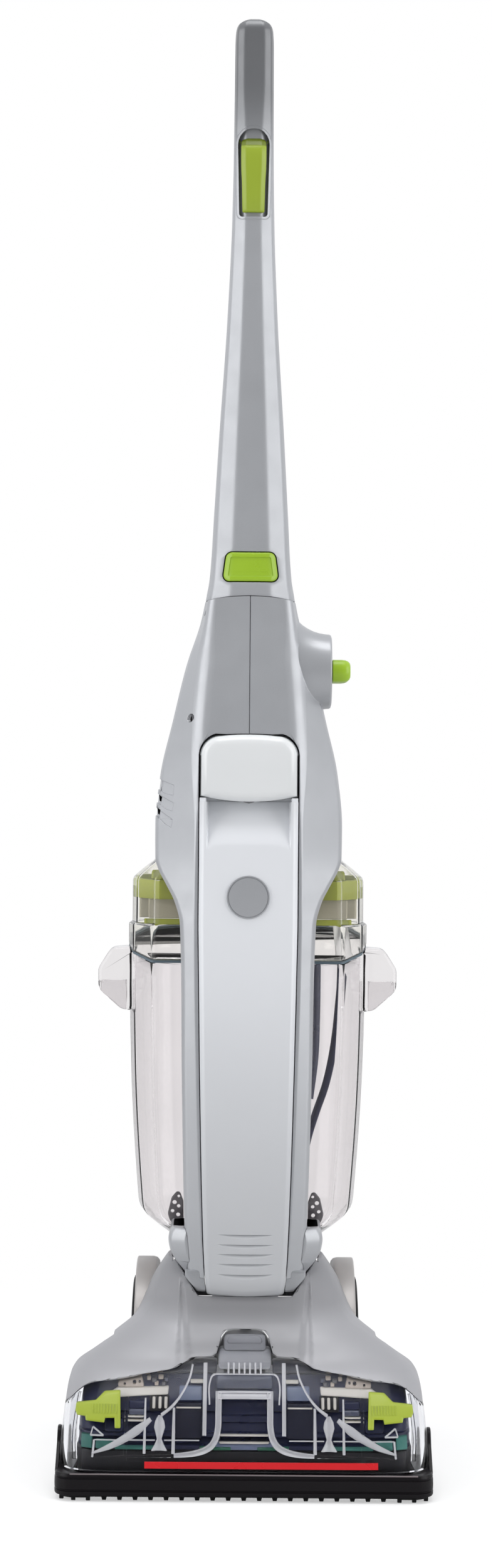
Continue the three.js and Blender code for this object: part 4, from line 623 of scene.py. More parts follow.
# height share, half width, front depth, rear depth, half of the flat front, depth of the chamfer
HANDLE = np.array([
    [0.000, 35.3, 25.0, 25.0, 15.5, 9.0],
    [0.028, 33.1, 22.5, 22.5, 14.8, 8.5],
    [0.150, 29.6, 20.4, 20.4, 13.0, 8.0],
    [0.272, 26.4, 18.5, 18.5, 11.2, 7.5],
    [0.497, 20.0, 16.5, 16.5, 7.9, 6.5],
    [0.664, 16.9, 15.5, 15.5, 6.2, 6.0],
    [0.802, 15.9, 15.5, 15.5, 6.4, 5.0],
    [0.891, 15.6, 16.0, 16.0, 8.2, 4.2],
    [0.956, 15.4, 15.5, 15.5, 8.2, 4.2],
    [0.980, 14.8, 14.4, 14.4, 7.8, 4.0],
    [0.992, 13.2, 11.6, 12.6, 6.6, 3.6],
    [0.998, 11.2, 8.4, 10.4, 5.0, 3.0],
    [1.000, 9.4, 6.4, 8.6, 4.4, 2.4],
])


def handle_ring(up, grow=0.0):
    """The handle's section at a share of its height."""
    half, front, rear, flat, chamfer = smooth_through(HANDLE[:, 0], HANDLE[:, 1:], up)[0]
    half, front, rear = half + grow, front + grow, rear + grow
    middle = float(handle_middle(up))
    round_front, round_side = 0.28 * half + 2.4, 0.2 * half + 1.5
    corners = mirrored([
        (flat, -front, round_front),
        (0.90 * half, -front + chamfer, round_side),
        (half, -0.25 * front, round_side * 2),
        (half, 0.3 * rear, round_side * 2),
        (0.84 * half, rear - chamfer * 0.9, round_side),
        (flat * 0.9, rear, round_front),
    ])
    flat_ring = rounded(corners, 4)
    return at_level(flat_ring + (0, middle), SEAM_Z + (TOP_Z - SEAM_Z) * up)


def handle_skin(grow=0.0, low=0.0, high=1.0, rows=90):
    """The handle's outside between two shares of its height."""
    ups = np.unique(np.concatenate([
        np.linspace(low, high, rows),
        [u for u in np.linspace(0.94, 1.0, 22) if low < u < high],
    ]))
    return skin([handle_ring(u, grow) for u in ups])


def handle_split(back):
    """Everything ahead of the line where the handle's halves meet, moved back by a distance."""
    ups = np.linspace(-0.05, 1.05, 24)
    z = SEAM_Z + (TOP_Z - SEAM_Z) * ups
    edge = [(float(handle_middle(np.clip(u, 0, 1))) + back, level) for u, level in zip(ups, z)]
    outline = [(-90.0, z[0]), *edge, (-90.0, z[-1])]
    return skin([[(x, y, level) for y, level in outline] for x in (-60.0, 60.0)])


TRIGGER_SLOT = mirrored([(11.4, 994.6, 3.0), (12.9, 1064, 12.5)])
FAR = 120.0  # reach of the cutting tools ahead of and behind the body
CROWN = [(x, TOP_Z + 0.3 - 7.0 * (x / 15.4) ** 2) for x in np.linspace(-17, 17, 29)]
crown = sheet_between([*CROWN, (60, 1100), (60, 500), (-60, 500), (-60, 1100)], -FAR, FAR)
BUTTON = mirrored([(22.4, 702, 5.0), (19.3, 725, 5.0)])
SEAM_ARCH = [(x, 690.2 - 3.6 * (x / 35.0) ** 2) for x in np.linspace(-60, 60, 25)]


def seam_tool(above, lift):
    """Everything above or below the arched joint of handle and housing."""
    edge = [(x, z + lift) for x, z in SEAM_ARCH]
    end = 1300 if above else 100
    return sheet_between([*edge, (60, end), (-60, end)], -FAR, FAR)


hollow = handle_skin(-2.6, 0.0, 0.972, 60)
lip = prism(inset(TRIGGER_SLOT, -1.9), "y", [(0, -60), (0, -8)])


def raise_lip(obj):
    """Adds the lip: the part of a slightly larger handle that lies round the slot."""
    band = solid("band", handle_skin(0.7, 0.55, 0.97, 60))
    combine(band, "INTERSECT", lip)
    combine(band, "DIFFERENCE", hollow)
    use_up(obj, "UNION", band)


def open_front(obj):
    """Opens the front half for the trigger and trims it at the housing's joint."""
    raise_lip(obj)
    combine(obj, "DIFFERENCE", prism(TRIGGER_SLOT, "y", [(0, -60), (0, -6)]), seam_tool(False, 0.25))


def add_tongue(obj):
    """Trims the rear half at the housing's joint and adds the tongue that goes into the housing."""
    combine(obj, "DIFFERENCE", seam_tool(False, 0.25))
    combine(obj, "UNION", tongue)


piece(
    "handle_front_shell", handle_skin(0, -0.02), "grip_silver_painted_shade", "handle", "handle_front", slot="silver_shell",
    keeps=[handle_split(-0.2), crown],
    cuts=[hollow, prism(inset(BUTTON, -0.9), "y", [(0, -60), (0, -3)])],
    after=open_front, bevel=0.4,
)
tongue = prism([(-22, -12, 2), (22, -12, 2), (22, 14, 2), (-22, 14, 2)], "z", [(0, 645), (0, 694)])
piece(
    "handle_rear_shell", handle_skin(0, -0.02), "grip_silver_painted_shade", "handle", "handle_rear", slot="silver_shell",
    keeps=[crown],
    cuts=[handle_split(0.2), hollow, round_bar(4.4, 0, 60, "y", (0, 0, 880), 24)],
    after=add_tongue, bevel=0.4,
)


# ------------------------------------------------------------ release button, trigger
def handle_front_y(x, z):
    """The handle's front surface ahead of a point, from its section."""
    ring = handle_ring((z - SEAM_Z) / (TOP_Z - SEAM_Z))
    ahead = ring[ring[:, 1] < ring[:, 1].mean()]
    order = np.argsort(ahead[:, 0])
    return float(np.interp(x, ahead[order, 0], ahead[order, 1]))


def pad(corners, levels, surface, steps=6, back=6.0):
    """A pad following a surface: rings of the outline, each inset and raised, closed by a flat back."""
    rings = [(levels[0][0], -back), *levels]
    return skin([[(x, surface(x, z) - proud, z) for x, z in narrowed(corners, narrow, steps)]
                 for narrow, proud in rings])


piece(
    "release_button_cap",
    pad(BUTTON, [(0, -1.2), (0, 0.5), (0.35, 1.1), (1.0, 1.5), (2.2, 1.6), (3.6, 1.55), (3.9, 0.9),
                 (4.4, 0.8), (8, 0.9)],
        handle_front_y),
    "green_trim", "handle", "release_button", smooth=50,
)
TRIGGER_FACE = [  # height, half width, front, back
    (998, 8.4, -15.2, -12.6), (998.6, 8.8, -16.2, -12.4), (1001, 8.9, -17.2, -12.2),
    (1010, 9.1, -19.6, -11.5),
    (1022, 9.4, -21.2, -10.4), (1034, 10.0, -22.1, -9.4), (1042, 10.1, -22.3, -8.6),
    (1047, 10.1, -21.9, -8.1),
    (1049.6, 10.1, -21.0, -7.9), (1051, 10.1, -19.2, -7.7), (1054, 9.9, -17.6, -7.6),
    (1056.6, 8.7, -15.4, -7.6),
    (1058.4, 6.8, -13.4, -8.2), (1059.4, 4.2, -12.2, -9.2),
]


def trigger_ring(z, half, front, back):
    """The trigger's section at a height."""
    corners = mirrored([(half * 0.62, front, 3.0), (half, front + 2.6, 2.2), (half, back, 0.8)])
    return at_level(rounded(corners, 4), z)


def trigger_rows():
    """The trigger's sections from its foot to its top."""
    table = np.array(TRIGGER_FACE, float)
    levels = np.unique(np.concatenate([np.linspace(998, 1059.4, 45), table[:, 0]]))
    return [trigger_ring(z, *smooth_through(table[:, 0], table[:, 1:], z)[0]) for z in levels]


# A round pocket in the trigger's back, which takes the spring when the trigger is pulled.
spring_low, spring_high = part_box("trigger_spring")
spring_x, spring_z = 500 * (spring_low.x + spring_high.x), 500 * (spring_low.z + spring_high.z)
spring_radius = 500 * (spring_high.z - spring_low.z) + 0.9
spring_room = round_bar(spring_radius, 1000 * spring_low.y - SHIFT - 7.0, 20, "y", (spring_x, 0, spring_z),
                        32)
ears = round_bar(1.8, -11.6, 11.6, "x", (0, -9.5, 1055), 20)
piece("trigger_lever", skin(trigger_rows()), "trigger_green_painted_shade", "trigger", "trigger", joins=[ears],
      cuts=[spring_room], smooth=40,
      slot="green_trim")


# ------------------------------------------------------------ housing and rails
# height, half width, front depth, rear, crease half width, flank end
HOUSE = np.array([
    [150, 46.0, 50.0, 8, 32.5, -43],
    [188, 48.5, 50.6, 8, 35.5, -44],
    [300, 51.4, 52.3, 8, 39.6, -46],
    [429, 54.0, 54.2, 8, 42.4, -46],
    [445, 58.0, 54.5, 8, 42.3, -42],
    [460, 65.6, 54.7, 8, 42.2, -36],
    [471, 71.6, 54.9, 8, 42.1, -30],
    [480, 74.4, 55.0, 8, 42.0, -26],
    [507, 74.8, 54.1, 80, 41.6, -22],
    [548, 71.0, 50.0, 72, 41.0, -19],
    [588, 62.0, 44.1, 60, 40.0, -17],
    [636, 50.6, 34.9, 44, 37.8, -14],
    [669, 39.9, 28.0, 33, 35.6, -11],
    [691, 35.3, 24.4, 27, 33.4, -9],
])
UNDERSIDE = 480.0  # of the shoulders, above the recovery tank
TANK_LOW, TANK_BACK = 138, -8.7
DIAL_Z = 631


def house_ring(z, grow=0.0, upper=None):
    """The body's section at a height, of the shoulders or of the part behind the tank."""
    half, front, rear, crease, flank = smooth_through(HOUSE[:, 0], HOUSE[:, 1:], z)[0]
    upper = z > UNDERSIDE if upper is None else upper
    if upper:
        top = HOUSE[8:]
        stations = np.concatenate([[[UNDERSIDE, 82.0]], top[:, [0, 3]]])
        rear = float(smooth_through(stations[:, 0], stations[:, 1], z)[0])
    shoulder, corner = (0.62, 0.9) if upper else (0.25, 1.0)
    corners = mirrored([
        (crease + grow * 0.6, -front - grow + 0.9, 3.2 + 15 * float(smoothstep(z, 500, 570))),
        (half + grow - 1.6, flank, 7.0),
        (half + grow, flank + 5.5, 7.0),
        (half + grow, -2.0, 2.0),
        (half * corner + grow, rear * shoulder, 20.0 if upper else 1.0),
        (half * 0.55, rear + grow, 24.0 if upper else 1.0),
    ])
    return at_level(rounded([(0.0, -front - grow, 30.0), *corners], 4), z)


def house_skin(grow=0.0, low=150.0, high=691.0):
    """The body's outside, or the same set in or out, between two heights."""
    fine = np.linspace(max(low, 429), min(high, 520), 26)
    step = [UNDERSIDE] if low < UNDERSIDE else []
    levels = np.unique(np.concatenate([np.linspace(low, high, 70), fine, step]))
    rings = []
    for z in levels:
        if low < UNDERSIDE and abs(z - UNDERSIDE) < 1e-6:
            rings += [house_ring(z, grow, False), house_ring(z, grow, True)]
        elif abs(z - UNDERSIDE) > 0.8 or low >= UNDERSIDE:
            rings.append(house_ring(z, grow))
    return skin(rings)


def tank_half(z):
    """Half the clean tank's width at a height."""
    rise = np.clip((z - TANK_LOW) / (429 - TANK_LOW), 0, 1)
    return 29.8 + 9.2 * math.sqrt(rise)


QUARTER = math.pi / 2
CAP_TOP, CORNER_STEPS = 579.0, np.linspace(0, QUARTER, 9)
CAP_CORNER = [(39.0 - 16.2 * (1 - math.cos(a)) ** 0.9, 563.0 + 16.2 * math.sin(a) ** 0.95)
              for a in CORNER_STEPS]


def front_outline(grow, low=120.0):
    """Tank and cap seen from ahead, as a closed outline, counter-clockwise."""
    right = [(tank_half(z) + grow, z) for z in np.linspace(max(low, TANK_LOW), 520, 24)]
    if low < TANK_LOW:
        right.insert(0, (tank_half(TANK_LOW) + grow, low))
    right += [(x + grow, z + grow * math.sin(a)) for (x, z), a in zip(CAP_CORNER, CORNER_STEPS)]
    crest = [(x, CAP_TOP + grow - (x / 24) ** 2 * 0.9) for x in np.linspace(18, 0, 7)]
    right = [p for p in right if p[1] <= CAP_TOP + grow] + crest
    left = [(-x, z) for x, z in reversed(right) if x > 1e-6]
    return right + left


pocket = extruded(front_outline(0.75), "y", (-FAR, TANK_BACK))
# The dial's boss: a round face whose foot flares up and down into the flank.
BOSS = [(24, 44), (36, 43.5), (38.3, 41), (42, 37.6), (46, 34.9), (51, 32.4), (56, 30.9), (61, 30.1),
        (63.6, 29.9), (64.9, 29.4), (65.5, 28.4)]


def boss_skin():
    """The round boss of the dial on the right."""
    angles = np.linspace(0, 2 * np.pi, 72, endpoint=False)
    return skin([[(x, min(r, 29.5) * math.cos(a), DIAL_Z + r * math.sin(a)) for a in angles]
                 for x, r in BOSS])


boss = boss_skin()
# Louvres: three shallow scoops that slope down towards the front, two of them with an air hole.
SCOOPS = (
    ([(-84, 550), (-68.6, 542), (-59.6, 538.6), (-60.2, 530.4), (-67, 531.9), (-71, 534.4), (-84, 541.5)],
     None),
    ([(-84, 538), (-69, 529.4), (-59.6, 524.4), (-61, 517.9), (-66, 519.5), (-70.6, 522.8), (-84, 531)],
     (-70.6, 527.9)),
    ([(-84, 527), (-70, 517.7), (-60.6, 511.4), (-61.6, 505), (-67, 507.9), (-71.6, 512.3), (-84, 521)],
     (-71.8, 517.4)),
)


def skin_pocket(outline, depth):
    """What lies outside the housing's skin set in by a depth, within an outline seen from ahead."""
    obj = solid("pocket", extruded(outline, "y", (-60.0, 10.0)))
    combine(obj, "DIFFERENCE", house_skin(-depth))
    return taken(obj)


louvres = []
for scoop, hole in SCOOPS:
    louvres.append(skin_pocket(scoop, 1.0))
    if hole:
        x, z = hole
        corners = [(x - 1.3, z + 3.2), (x + 1.3, z + 1.4), (x + 0.6, z - 2.6), (x - 0.8, z - 1.6)]
        louvres.append(extruded(corners, "y", (-60.0, -6.0)))


def screw_place(node):
    """Depth and height of a screw's axis."""
    low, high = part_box(node)
    return 1000 * (low.y + high.y) / 2 - SHIFT, 1000 * (low.z + high.z) / 2


screw_holes = []
for node in ("housing_screw_upper", "housing_screw_lower"):
    y, z = screw_place(node)
    screw_holes.append(round_bar(3.4, -90, -20, "x", (0, y, z), 28))
tongue_slot = slab((-22.5, 22.5), (-12.5, 14.5), (640, 700))
inside = house_skin(-2.6, 484.0, 687.0)
pocket_wall = extruded(front_outline(4.0), "y", (-FAR, -6.0))
inlet_hole = round_bar(16, 460, 486, "z", (0, 42, 0), 40)
hose_way = slab((-30, 30), (-6, 5), (140, 486))


def half_house(side):
    """One half of the body: hollow above the tank, open for the tank, and grooved along the middle seam."""
    obj = solid("half", house_skin())
    if side > 0:
        combine(obj, "UNION", boss)
    hollow_house = solid("hollow", inside)
    combine(hollow_house, "DIFFERENCE", pocket_wall)
    use_up(obj, "DIFFERENCE", hollow_house)
    other_half = slab(span(-side, -0.02, 200), (-200, 200), (0, 800))
    tools = [pocket, tongue_slot, inlet_hole, hose_way, seam_tool(True, -0.25), other_half]
    if side < 0:
        tools += louvres + screw_holes
    if side > 0:
        tools.append(round_bar(5.4, 40, 90, "x", (0, 0, DIAL_Z), 32))
        tools.append(round_bar(28.6, 63.4, 90, "x", (0, 0, DIAL_Z), 64))
    combine(obj, "DIFFERENCE", *tools)
    groove = solid("groove", house_skin(0.6, 140.0, 700.0))
    combine(groove, "DIFFERENCE", house_skin(-1.5, 139.0, 701.0))
    combine(groove, "INTERSECT", slab((-0.28, 0.28), (-200, 200), (100, 800)))
    use_up(obj, "DIFFERENCE", groove)
    return taken(obj)


for name, side in SIDES:
    piece(f"housing_{name}_shell", half_house(side), "silver_shell", "upright", f"housing_{name}", bevel=0.35,
          smooth=32, even=True)


# ------------------------------------------------------------ clean solution tank
RIBS = (186.3, 178.5, 170.9, 163.2, 155.4)


def tank_relief(x, z):
    """How far the tank's face is set back: the finger recess and the five grooves."""
    depth = 0.0
    if z > 480:
        edge = 484 + 8 * math.sqrt(max(0.0, 1 - (x / 33.4) ** 6))
        share = max(0.0, (z - edge) / (526.3 - edge))
        depth += 21 * share**1.35 * (1 - float(smoothstep(abs(x), 31.9, 33.3)))
    for top in RIBS:
        sag = 3.1 * max(0.0, 1 - (x / 21.6) ** 2) ** 0.8
        if sag > 0.05 and top - sag < z < top:
            depth += 2.3 * (sag / 3.1) * (1 - (top - z) / sag)
    return depth


def tank_rows():
    """Heights of the clean tank's sections, closer together where it changes shape."""
    levels = list(np.linspace(TANK_LOW, 526, 60)) + list(np.linspace(482, 526, 48)) + [139, 140.2]
    for top in RIBS:
        levels += [top + 0.25, top + 0.01, top - 0.01, top - 0.5, top - 1.0, top - 1.6, top - 2.2, top - 2.8,
                   top - 3.2]
    return np.unique(np.round(levels, 3))


def tank_ring(z):
    """The clean tank's section at a height."""
    half = tank_half(z)
    edge = half - 4.2
    foot = max(0.0, 1 - (z - TANK_LOW) / 9.0)
    recess_edge = [s * x for s in (-1, 1) for x in (31.9, 32.3, 32.8, 33.3)]
    spots = np.unique(np.concatenate([np.linspace(-34.8, 34.8, 47), recess_edge])) / 34.8
    front = []
    for t in spots:
        x = t * edge
        front.append((x, -60 + 1.3 * t * t + tank_relief(x, z) + 5.0 * foot**2.2))
    brink = front[-1][1]
    angles = np.linspace(0.12, QUARTER, 8)
    chamfer = [(edge + 4.2 * math.sin(a) ** 1.35, brink + 5.0 - 5.0 * math.cos(a) ** 1.35) for a in angles]
    back = [(half, -13.0), (half - 0.9, -10.9), (half - 3, -10)]
    right = chamfer + back
    left = [(-x, y) for x, y in reversed(right)]
    return [(x, y, z) for x, y in front + right + left]


def sag_foot(shape):
    """Lets the tank's lower front edge hang in a shallow arc."""
    vertices, faces = shape
    low = vertices[:, 2] < 160
    ahead = np.clip((-52 - vertices[:, 1]) / 6, 0, 1)
    arc = 2.6 * np.clip(1 - (vertices[:, 0] / 30) ** 2, 0, 1)
    vertices[:, 2] -= np.where(low, ahead * arc * np.clip((160 - vertices[:, 2]) / 22, 0, 1), 0)
    return vertices, faces


top_arc = [(x, 530.1 - 4.3 * (1 - (x / 38.6) ** 2)) for x in np.linspace(38.4, -38.4, 25)]
brims = [extruded([(-38.4, 519), (38.4, 519), *top_arc], "y", (-36.8, -12))]
for _, side in SIDES:
    corners = [(33.6, -57.2, 0.6), (38.9, -52.4, 2.5), (38.9, -12, 1), (33.6, -12, 1)]
    brims.append(prism(on_side(side, corners), "z", [(0, 518), (0, 528.7), (0.4, 529.1)]))
piece("clean_tank", sag_foot(skin([tank_ring(z) for z in tank_rows()])), "tank_white_painted_shade", "solution",
      "solution_tank", joins=brims, smooth=50, slot="white_shell")


def cap_face(x, z, narrow):
    """The cap's pillowed face: level in the middle, rolling over towards its rim."""
    rim = max(0.0, 1 - narrow / 7.0)
    return -60.6 + 2.6 * (abs(x) / 38) ** 3 + 6.0 * rim**2.6 + 1.2 * (max(0.0, z - 550) / 29) ** 2


def cap_outline(narrow):
    """The cap seen from ahead, set in by a distance; its lower edge hangs in an arc."""
    spots = np.linspace(-38.6 + narrow, 38.6 - narrow, 33)
    arc = [(x, 530.4 - 4.3 * (1 - (x / 38.6) ** 2) + narrow * 0.9) for x in spots]
    corner = []
    for a in np.linspace(0, QUARTER, 12):
        x = 38.6 - 16.4 * (1 - math.cos(a)) ** 0.93
        z = 562.4 + 15.4 * math.sin(a) ** 0.95
        corner.append((x - narrow * math.cos(a), z - narrow * math.sin(a)))
    end = corner[-1][0]
    crest = [(x, CAP_TOP - narrow - 1.2 * (x / 22) ** 2) for x in np.linspace(end, -end, 15)]
    left = [(-x, z) for x, z in reversed(corner)]
    return arc + corner[:-1] + crest + left[1:]


cap_rings = [[(x, -10.2, z) for x, z in cap_outline(0.0)], [(x, -54.0, z) for x, z in cap_outline(0.0)]]
for narrow in (0.0, 0.25, 0.7, 1.4, 2.4, 3.8, 5.5, 8):
    cap_rings.append([(x, cap_face(x, z, narrow), z) for x, z in cap_outline(narrow)])
for share in (0.85, 0.7, 0.55, 0.4, 0.25, 0.1):
    spots = [(x * share, 553 + (z - 553) * share) for x, z in cap_outline(8)]
    cap_rings.append([(x, cap_face(x, z, 8), z) for x, z in spots])
piece("clean_tank_cap", skin(cap_rings), "white_shell", "solution", "solution_cap", smooth=60)
badge = [(0, 0.9), (9, 0.85), (15.2, 0.7), (15.5, 0.2), (15.9, 0.2), (16.2, 0.9), (16.8, 0.8), (17, 0.3),
         (17, -0.8), (0, -0.8)]
piece("tank_disc", turned([(r, -h) for r, h in badge], "y", (0, -60.3, 451), 72), "silver_shell", "solution",
      "tank_badge", smooth=40)


# ------------------------------------------------------------ dial
piece(
    "dial_face", turned([(5.8, 63.6), (28.2, 63.6), (28.4, 64.2), (28.2, 65.3), (27.4, 65.7), (24.5, 65.4),
                         (6.2, 65.4), (5.8, 65.1)], "x", (0, 0, DIAL_Z), 72),
    "silver_shell", "upright", "dial_plate", slot="dark_grey",
)
KNOB = [(-23, -9, 8.5), (23, -9, 8.5), (23, 9, 8.5), (-23, 9, 8.5)]
knob_shape = prism([(y, z + DIAL_Z, r) for y, z, r in KNOB], "x",
                   [(0.6, 66.1), (0, 66.6), (0, 73.5), (0.35, 76.4), (1.1, 78.4), (2.3, 79.8), (4.0, 80.5)],
                   8)
stem = round_bar(5, 53, 67, "x", (0, 0, DIAL_Z), 24)
piece("mode_knob_bar", knob_shape, "green_trim", "knob", "mode_knob", joins=[stem], smooth=40)


# ------------------------------------------------------------ recovery tank
TANK_WALL = 2.4
# height, half width, rear
BOWL = np.array([
    [166, 53.0, 100], [166.6, 55.5, 102], [168.6, 58.2, 103.6], [178, 72.5, 109.5], [187, 84.4, 114.2],
    [190, 86.9, 115.4],
    [194, 88.4, 116.3], [206, 89.7, 117.3], [306, 96.0, 122], [400, 98.2, 125.2], [424, 98.7, 126],
])
LID = np.array([
    [380, 98.7, 126], [424, 98.7, 126], [424.8, 98.2, 125.6], [425.6, 96.2, 124.4], [426.6, 95.8, 124],
    [460, 95.6, 122.3],
    [463, 94.6, 121.4], [465.6, 91.9, 119.4], [475, 80.5, 106.5], [477.8, 76.9, 102.6], [478.8, 74.4, 100],
    [479, 71.8, 97.5],
])


def bowl_ring(table, z, grow=0.0):
    """A section of the recovery tank, from the table of its bowl or its lid, at a height."""
    half, rear = smooth_through(table[:, 0], table[:, 1:], z)[0]
    half, rear, front = half + grow, rear + grow, 12 - grow
    deep = rear - front
    corners = mirrored([
        (0.79 * half, front, 5.0), (0.955 * half, front + 0.24 * deep, 9.0),
        (half, front + 0.46 * deep, 22.0),
        (0.985 * half, front + 0.72 * deep, 20.0), (0.88 * half, front + 0.91 * deep, 12.0),
        (0.66 * half, rear, 12.0),
    ])
    return rounded(corners, 5)


def gasket_z(y):
    """Height of the sloping gasket at a depth."""
    return 394 + (y - 12) * 0.21


def bowl_wall(grow, base):
    """Rings from the bottom up to the slanted joint with the lid."""
    rings = []
    for share in np.concatenate([[0, 0.0026, 0.011, 0.03], np.linspace(0.05, 0.17, 10),
                                 np.linspace(0.22, 1, 16)]):
        z = base + share * (402 - base)
        flat = bowl_ring(BOWL, max(166.0, z + (0 if grow == 0 else -2.0 * (share < 0.05))), grow)
        rings.append([(x, y, base + share * (gasket_z(y) - base)) for x, y in flat])
    return rings


def shell_between(inner, outer):
    """A closed wall between an inner and an outer stack of rings, both from the closed end to the rim."""
    return skin(list(inner) + list(outer)[::-1])


EAR_LEVELS = [(3.2, 44.0), (1.2, 44.9), (0.3, 46.4), (0, 48.5), (0, 71.5), (0.3, 73.6), (1.2, 75.1),
              (3.2, 76.0)]


def ear_shape(side):
    """A finger ear on the tank's side."""
    corners = [(90, 352.5, 1), (104, 353.8, 10), (122.9, 370.5, 12), (122.9, 388, 10), (112.5, 404.6, 10),
               (90, 406, 1)]
    return skin([[(side * x, y, z) for x, z in rounded(inset(corners, narrow), 5)]
                 for narrow, y in EAR_LEVELS])


bowl_inner, bowl_outer = bowl_wall(-TANK_WALL, 168.4), bowl_wall(0.0, 166.0)
bowl_core = skin(bowl_inner)
ears = [ear_shape(side) for _, side in SIDES]
ear_pockets = [slab(span(side, 99.5, 120.3), (47.2, 72.8), (340, 378)) for _, side in SIDES]


def add_ears(obj):
    """Joins the finger ears, hollows the tank and opens the ears from below."""
    combine(obj, "UNION", *ears)
    combine(obj, "DIFFERENCE", bowl_core, *ear_pockets)


piece("recovery_bowl", skin(bowl_outer), "bowl_clear_painted_shade", "recovery", "recovery_tank", after=add_ears, bevel=0.5,
      smooth=24, slot="clear_plastic")


def lid_rings(grow, top, rim):
    """Rings from the top down to the slanted joint, kept level above the step."""
    rings = []
    for z in [479, 478.8, 477.8, 475, 470, 465.6, 463, 460, 450, 440, 430, 426.6, 425.6, 424.8, 424.2]:
        flat = bowl_ring(LID, z, grow)
        rings.append([(x, y, min(z, top)) for x, y in flat])
    for share in np.linspace(0.12, 1, 8):
        flat = bowl_ring(LID, 424 - 20 * share, grow)
        rings.append([(x, y, 424.2 + share * (gasket_z(y) + rim - 424.2)) for x, y in flat])
    return rings


port = round_bar(10, 400, 500, "z", (0, 42, 0), 32)
lid_outer = lid_rings(0, 479.0, 3.0)
piece(
    "recovery_lid", shell_between(lid_rings(-TANK_WALL, 476.6, 3.0), lid_outer), "lid_clear", "recovery",
    "tank_lid",
    cuts=[port], bevel=0.4, smooth=24, slot="clear_plastic",
)


def band_rings(grow, low, high):
    """Two sections along the tank's sloping joint."""
    flat = bowl_ring(BOWL, 402, grow)
    return [[(x, y, gasket_z(y) + lift) for x, y in flat] for lift in (low, high)]


gasket_in, gasket_out = band_rings(-4.0, 0.5, 2.3), band_rings(0.15, 0.5, 2.3)
piece(
    "recovery_gasket", skin([gasket_in[0], gasket_in[1], gasket_out[1], gasket_out[0], gasket_in[0]],
                            caps=False),
    "seal_grey", "recovery", "tank_gasket", smooth=40, slot="rubber",
)

# Pipe that carries the dirty water up, and what hangs in the lid.
riser = curve_through([(42, 66, 169), (45, 65, 205), (51.5, 62.5, 248), (57.5, 61, 268), (65, 60, 290),
                       (70, 59, 312), (73.4, 57.5, 335),
                       (75.6, 56.5, 358), (78, 56, 386)], 60)
side_rib = curve_through([(57, 58, 387), (57.2, 58, 350), (56.6, 58, 315), (53, 59, 280)], 30)
piece("riser_pipe", tube(riser, 3.1, 18), "navy_plastic", "recovery", "standpipe", smooth=60)
piece("riser_rib", tube(side_rib, np.linspace(3.8, 2.4, 30), 16), "slate_plastic", "recovery", smooth=60,
      slot="navy_plastic")
bend = curve_through([(78.2, 56, 387), (78.6, 56, 400), (76.6, 55, 416), (74.4, 54, 431)], 40)
piece("riser_bend", tube(bend, np.linspace(6.4, 5.2, 40), 20), "milky_plastic", "recovery", "standpipe",
      smooth=60, slot="clear_plastic")


# ------------------------------------------------------------ foot: skin
# height, half width, front, middle, squareness
FOOT = np.array([
    [18, 140.0, -150, -70, 8], [20.4, 140.0, -150, -70, 8], [45, 139.6, -138, -70, 8],
    [66, 138.0, -123, -70, 7],
    [77, 136.4, -112.5, -66, 6], [86, 131.6, -103.5, -60, 4.6], [96, 118.0, -90, -54, 3.6],
    [108, 100.9, -79.5, -44, 3],
    [119, 86.9, -69, -34, 2.8], [132, 79.9, -60, -22, 2.8], [145, 74.1, -49.5, -12, 3],
    [155, 67.4, -38, -5, 3.5],
    [162, 62.0, -30, 0, 4],
])
HOOD_REAR = 22.0


def foot_at(z):
    """Half width, front, middle and squareness of the foot at a height."""
    return smooth_through(FOOT[:, 0], FOOT[:, 1:], z)[0]


def foot_y(x, z, grow=0.0):
    """Depth of the foot's face at a point seen from ahead."""
    half, front, middle, power = foot_at(z)
    share = min(1.0, abs(x) / (half + grow))
    return middle - (middle - front + grow) * (1 - share**power) ** (1 / power)


def hood_relief(x, z):
    """Depth of the hood's two tapering flutes and of the side bands set back beyond the wing creases."""
    depth = 0.0
    fall = float(np.clip((156 - z) / 58, 0, 1))
    center = 50.4 - 2.6 * fall
    width = 0.5 + 4.4 * fall
    off = (abs(x) - center) / width
    if abs(off) < 1:
        depth += 2.4 * min(1.0, fall * 3) * (1 - off * off) ** 0.7
    crease = float(np.interp(z, [96, 105, 110, 117, 130, 149, 162], [125, 104, 95.5, 83.5, 71.5, 67.8, 66]))
    return depth + 0.55 * max(0.0, abs(x) - crease)


def foot_ring(z, grow=0.0, rear=HOOD_REAR, count=180, relief=None):
    """The foot's section at a height."""
    half, front, middle, power = foot_at(z)
    angles = 2 * np.pi * (np.arange(count) + 0.5) / count
    across = np.sign(np.cos(angles)) * np.abs(np.cos(angles)) ** (2 / power)
    along = np.sign(np.sin(angles)) * np.abs(np.sin(angles)) ** (2 / power)
    x = (half + grow) * across
    y = middle + np.where(along > 0, along * (rear - middle), along * (middle - front + grow))
    if relief:
        y = y + np.array([relief(a, z) if b < middle else 0.0 for a, b in zip(x, y)])
    return at_level(np.column_stack([x, y]), z)


def foot_skin(grow=0.0, rear=HOOD_REAR, low=18.0, high=162.0, rows=60, relief=None, count=180):
    """The foot's outside, or the same set in or out, between two heights."""
    return skin([foot_ring(z, grow, rear, count, relief) for z in np.linspace(low, high, rows)])


SEAM = [(160, 55), (139.5, 61.5), (134, 67.5), (129, 72.8), (123, 77), (118, 79.2), (98, 82), (78, 85.4),
        (59, 88), (52, 89.6), (45, 93),
        (40, 95.2)]
TAB_SIDE = [(24.5, 96.5), (21.2, 98.5), (19.8, 103), (17.6, 110), (14.2, 113.4)]
AXLE_AT = (0, AXLE_Y, AXLE_Z)


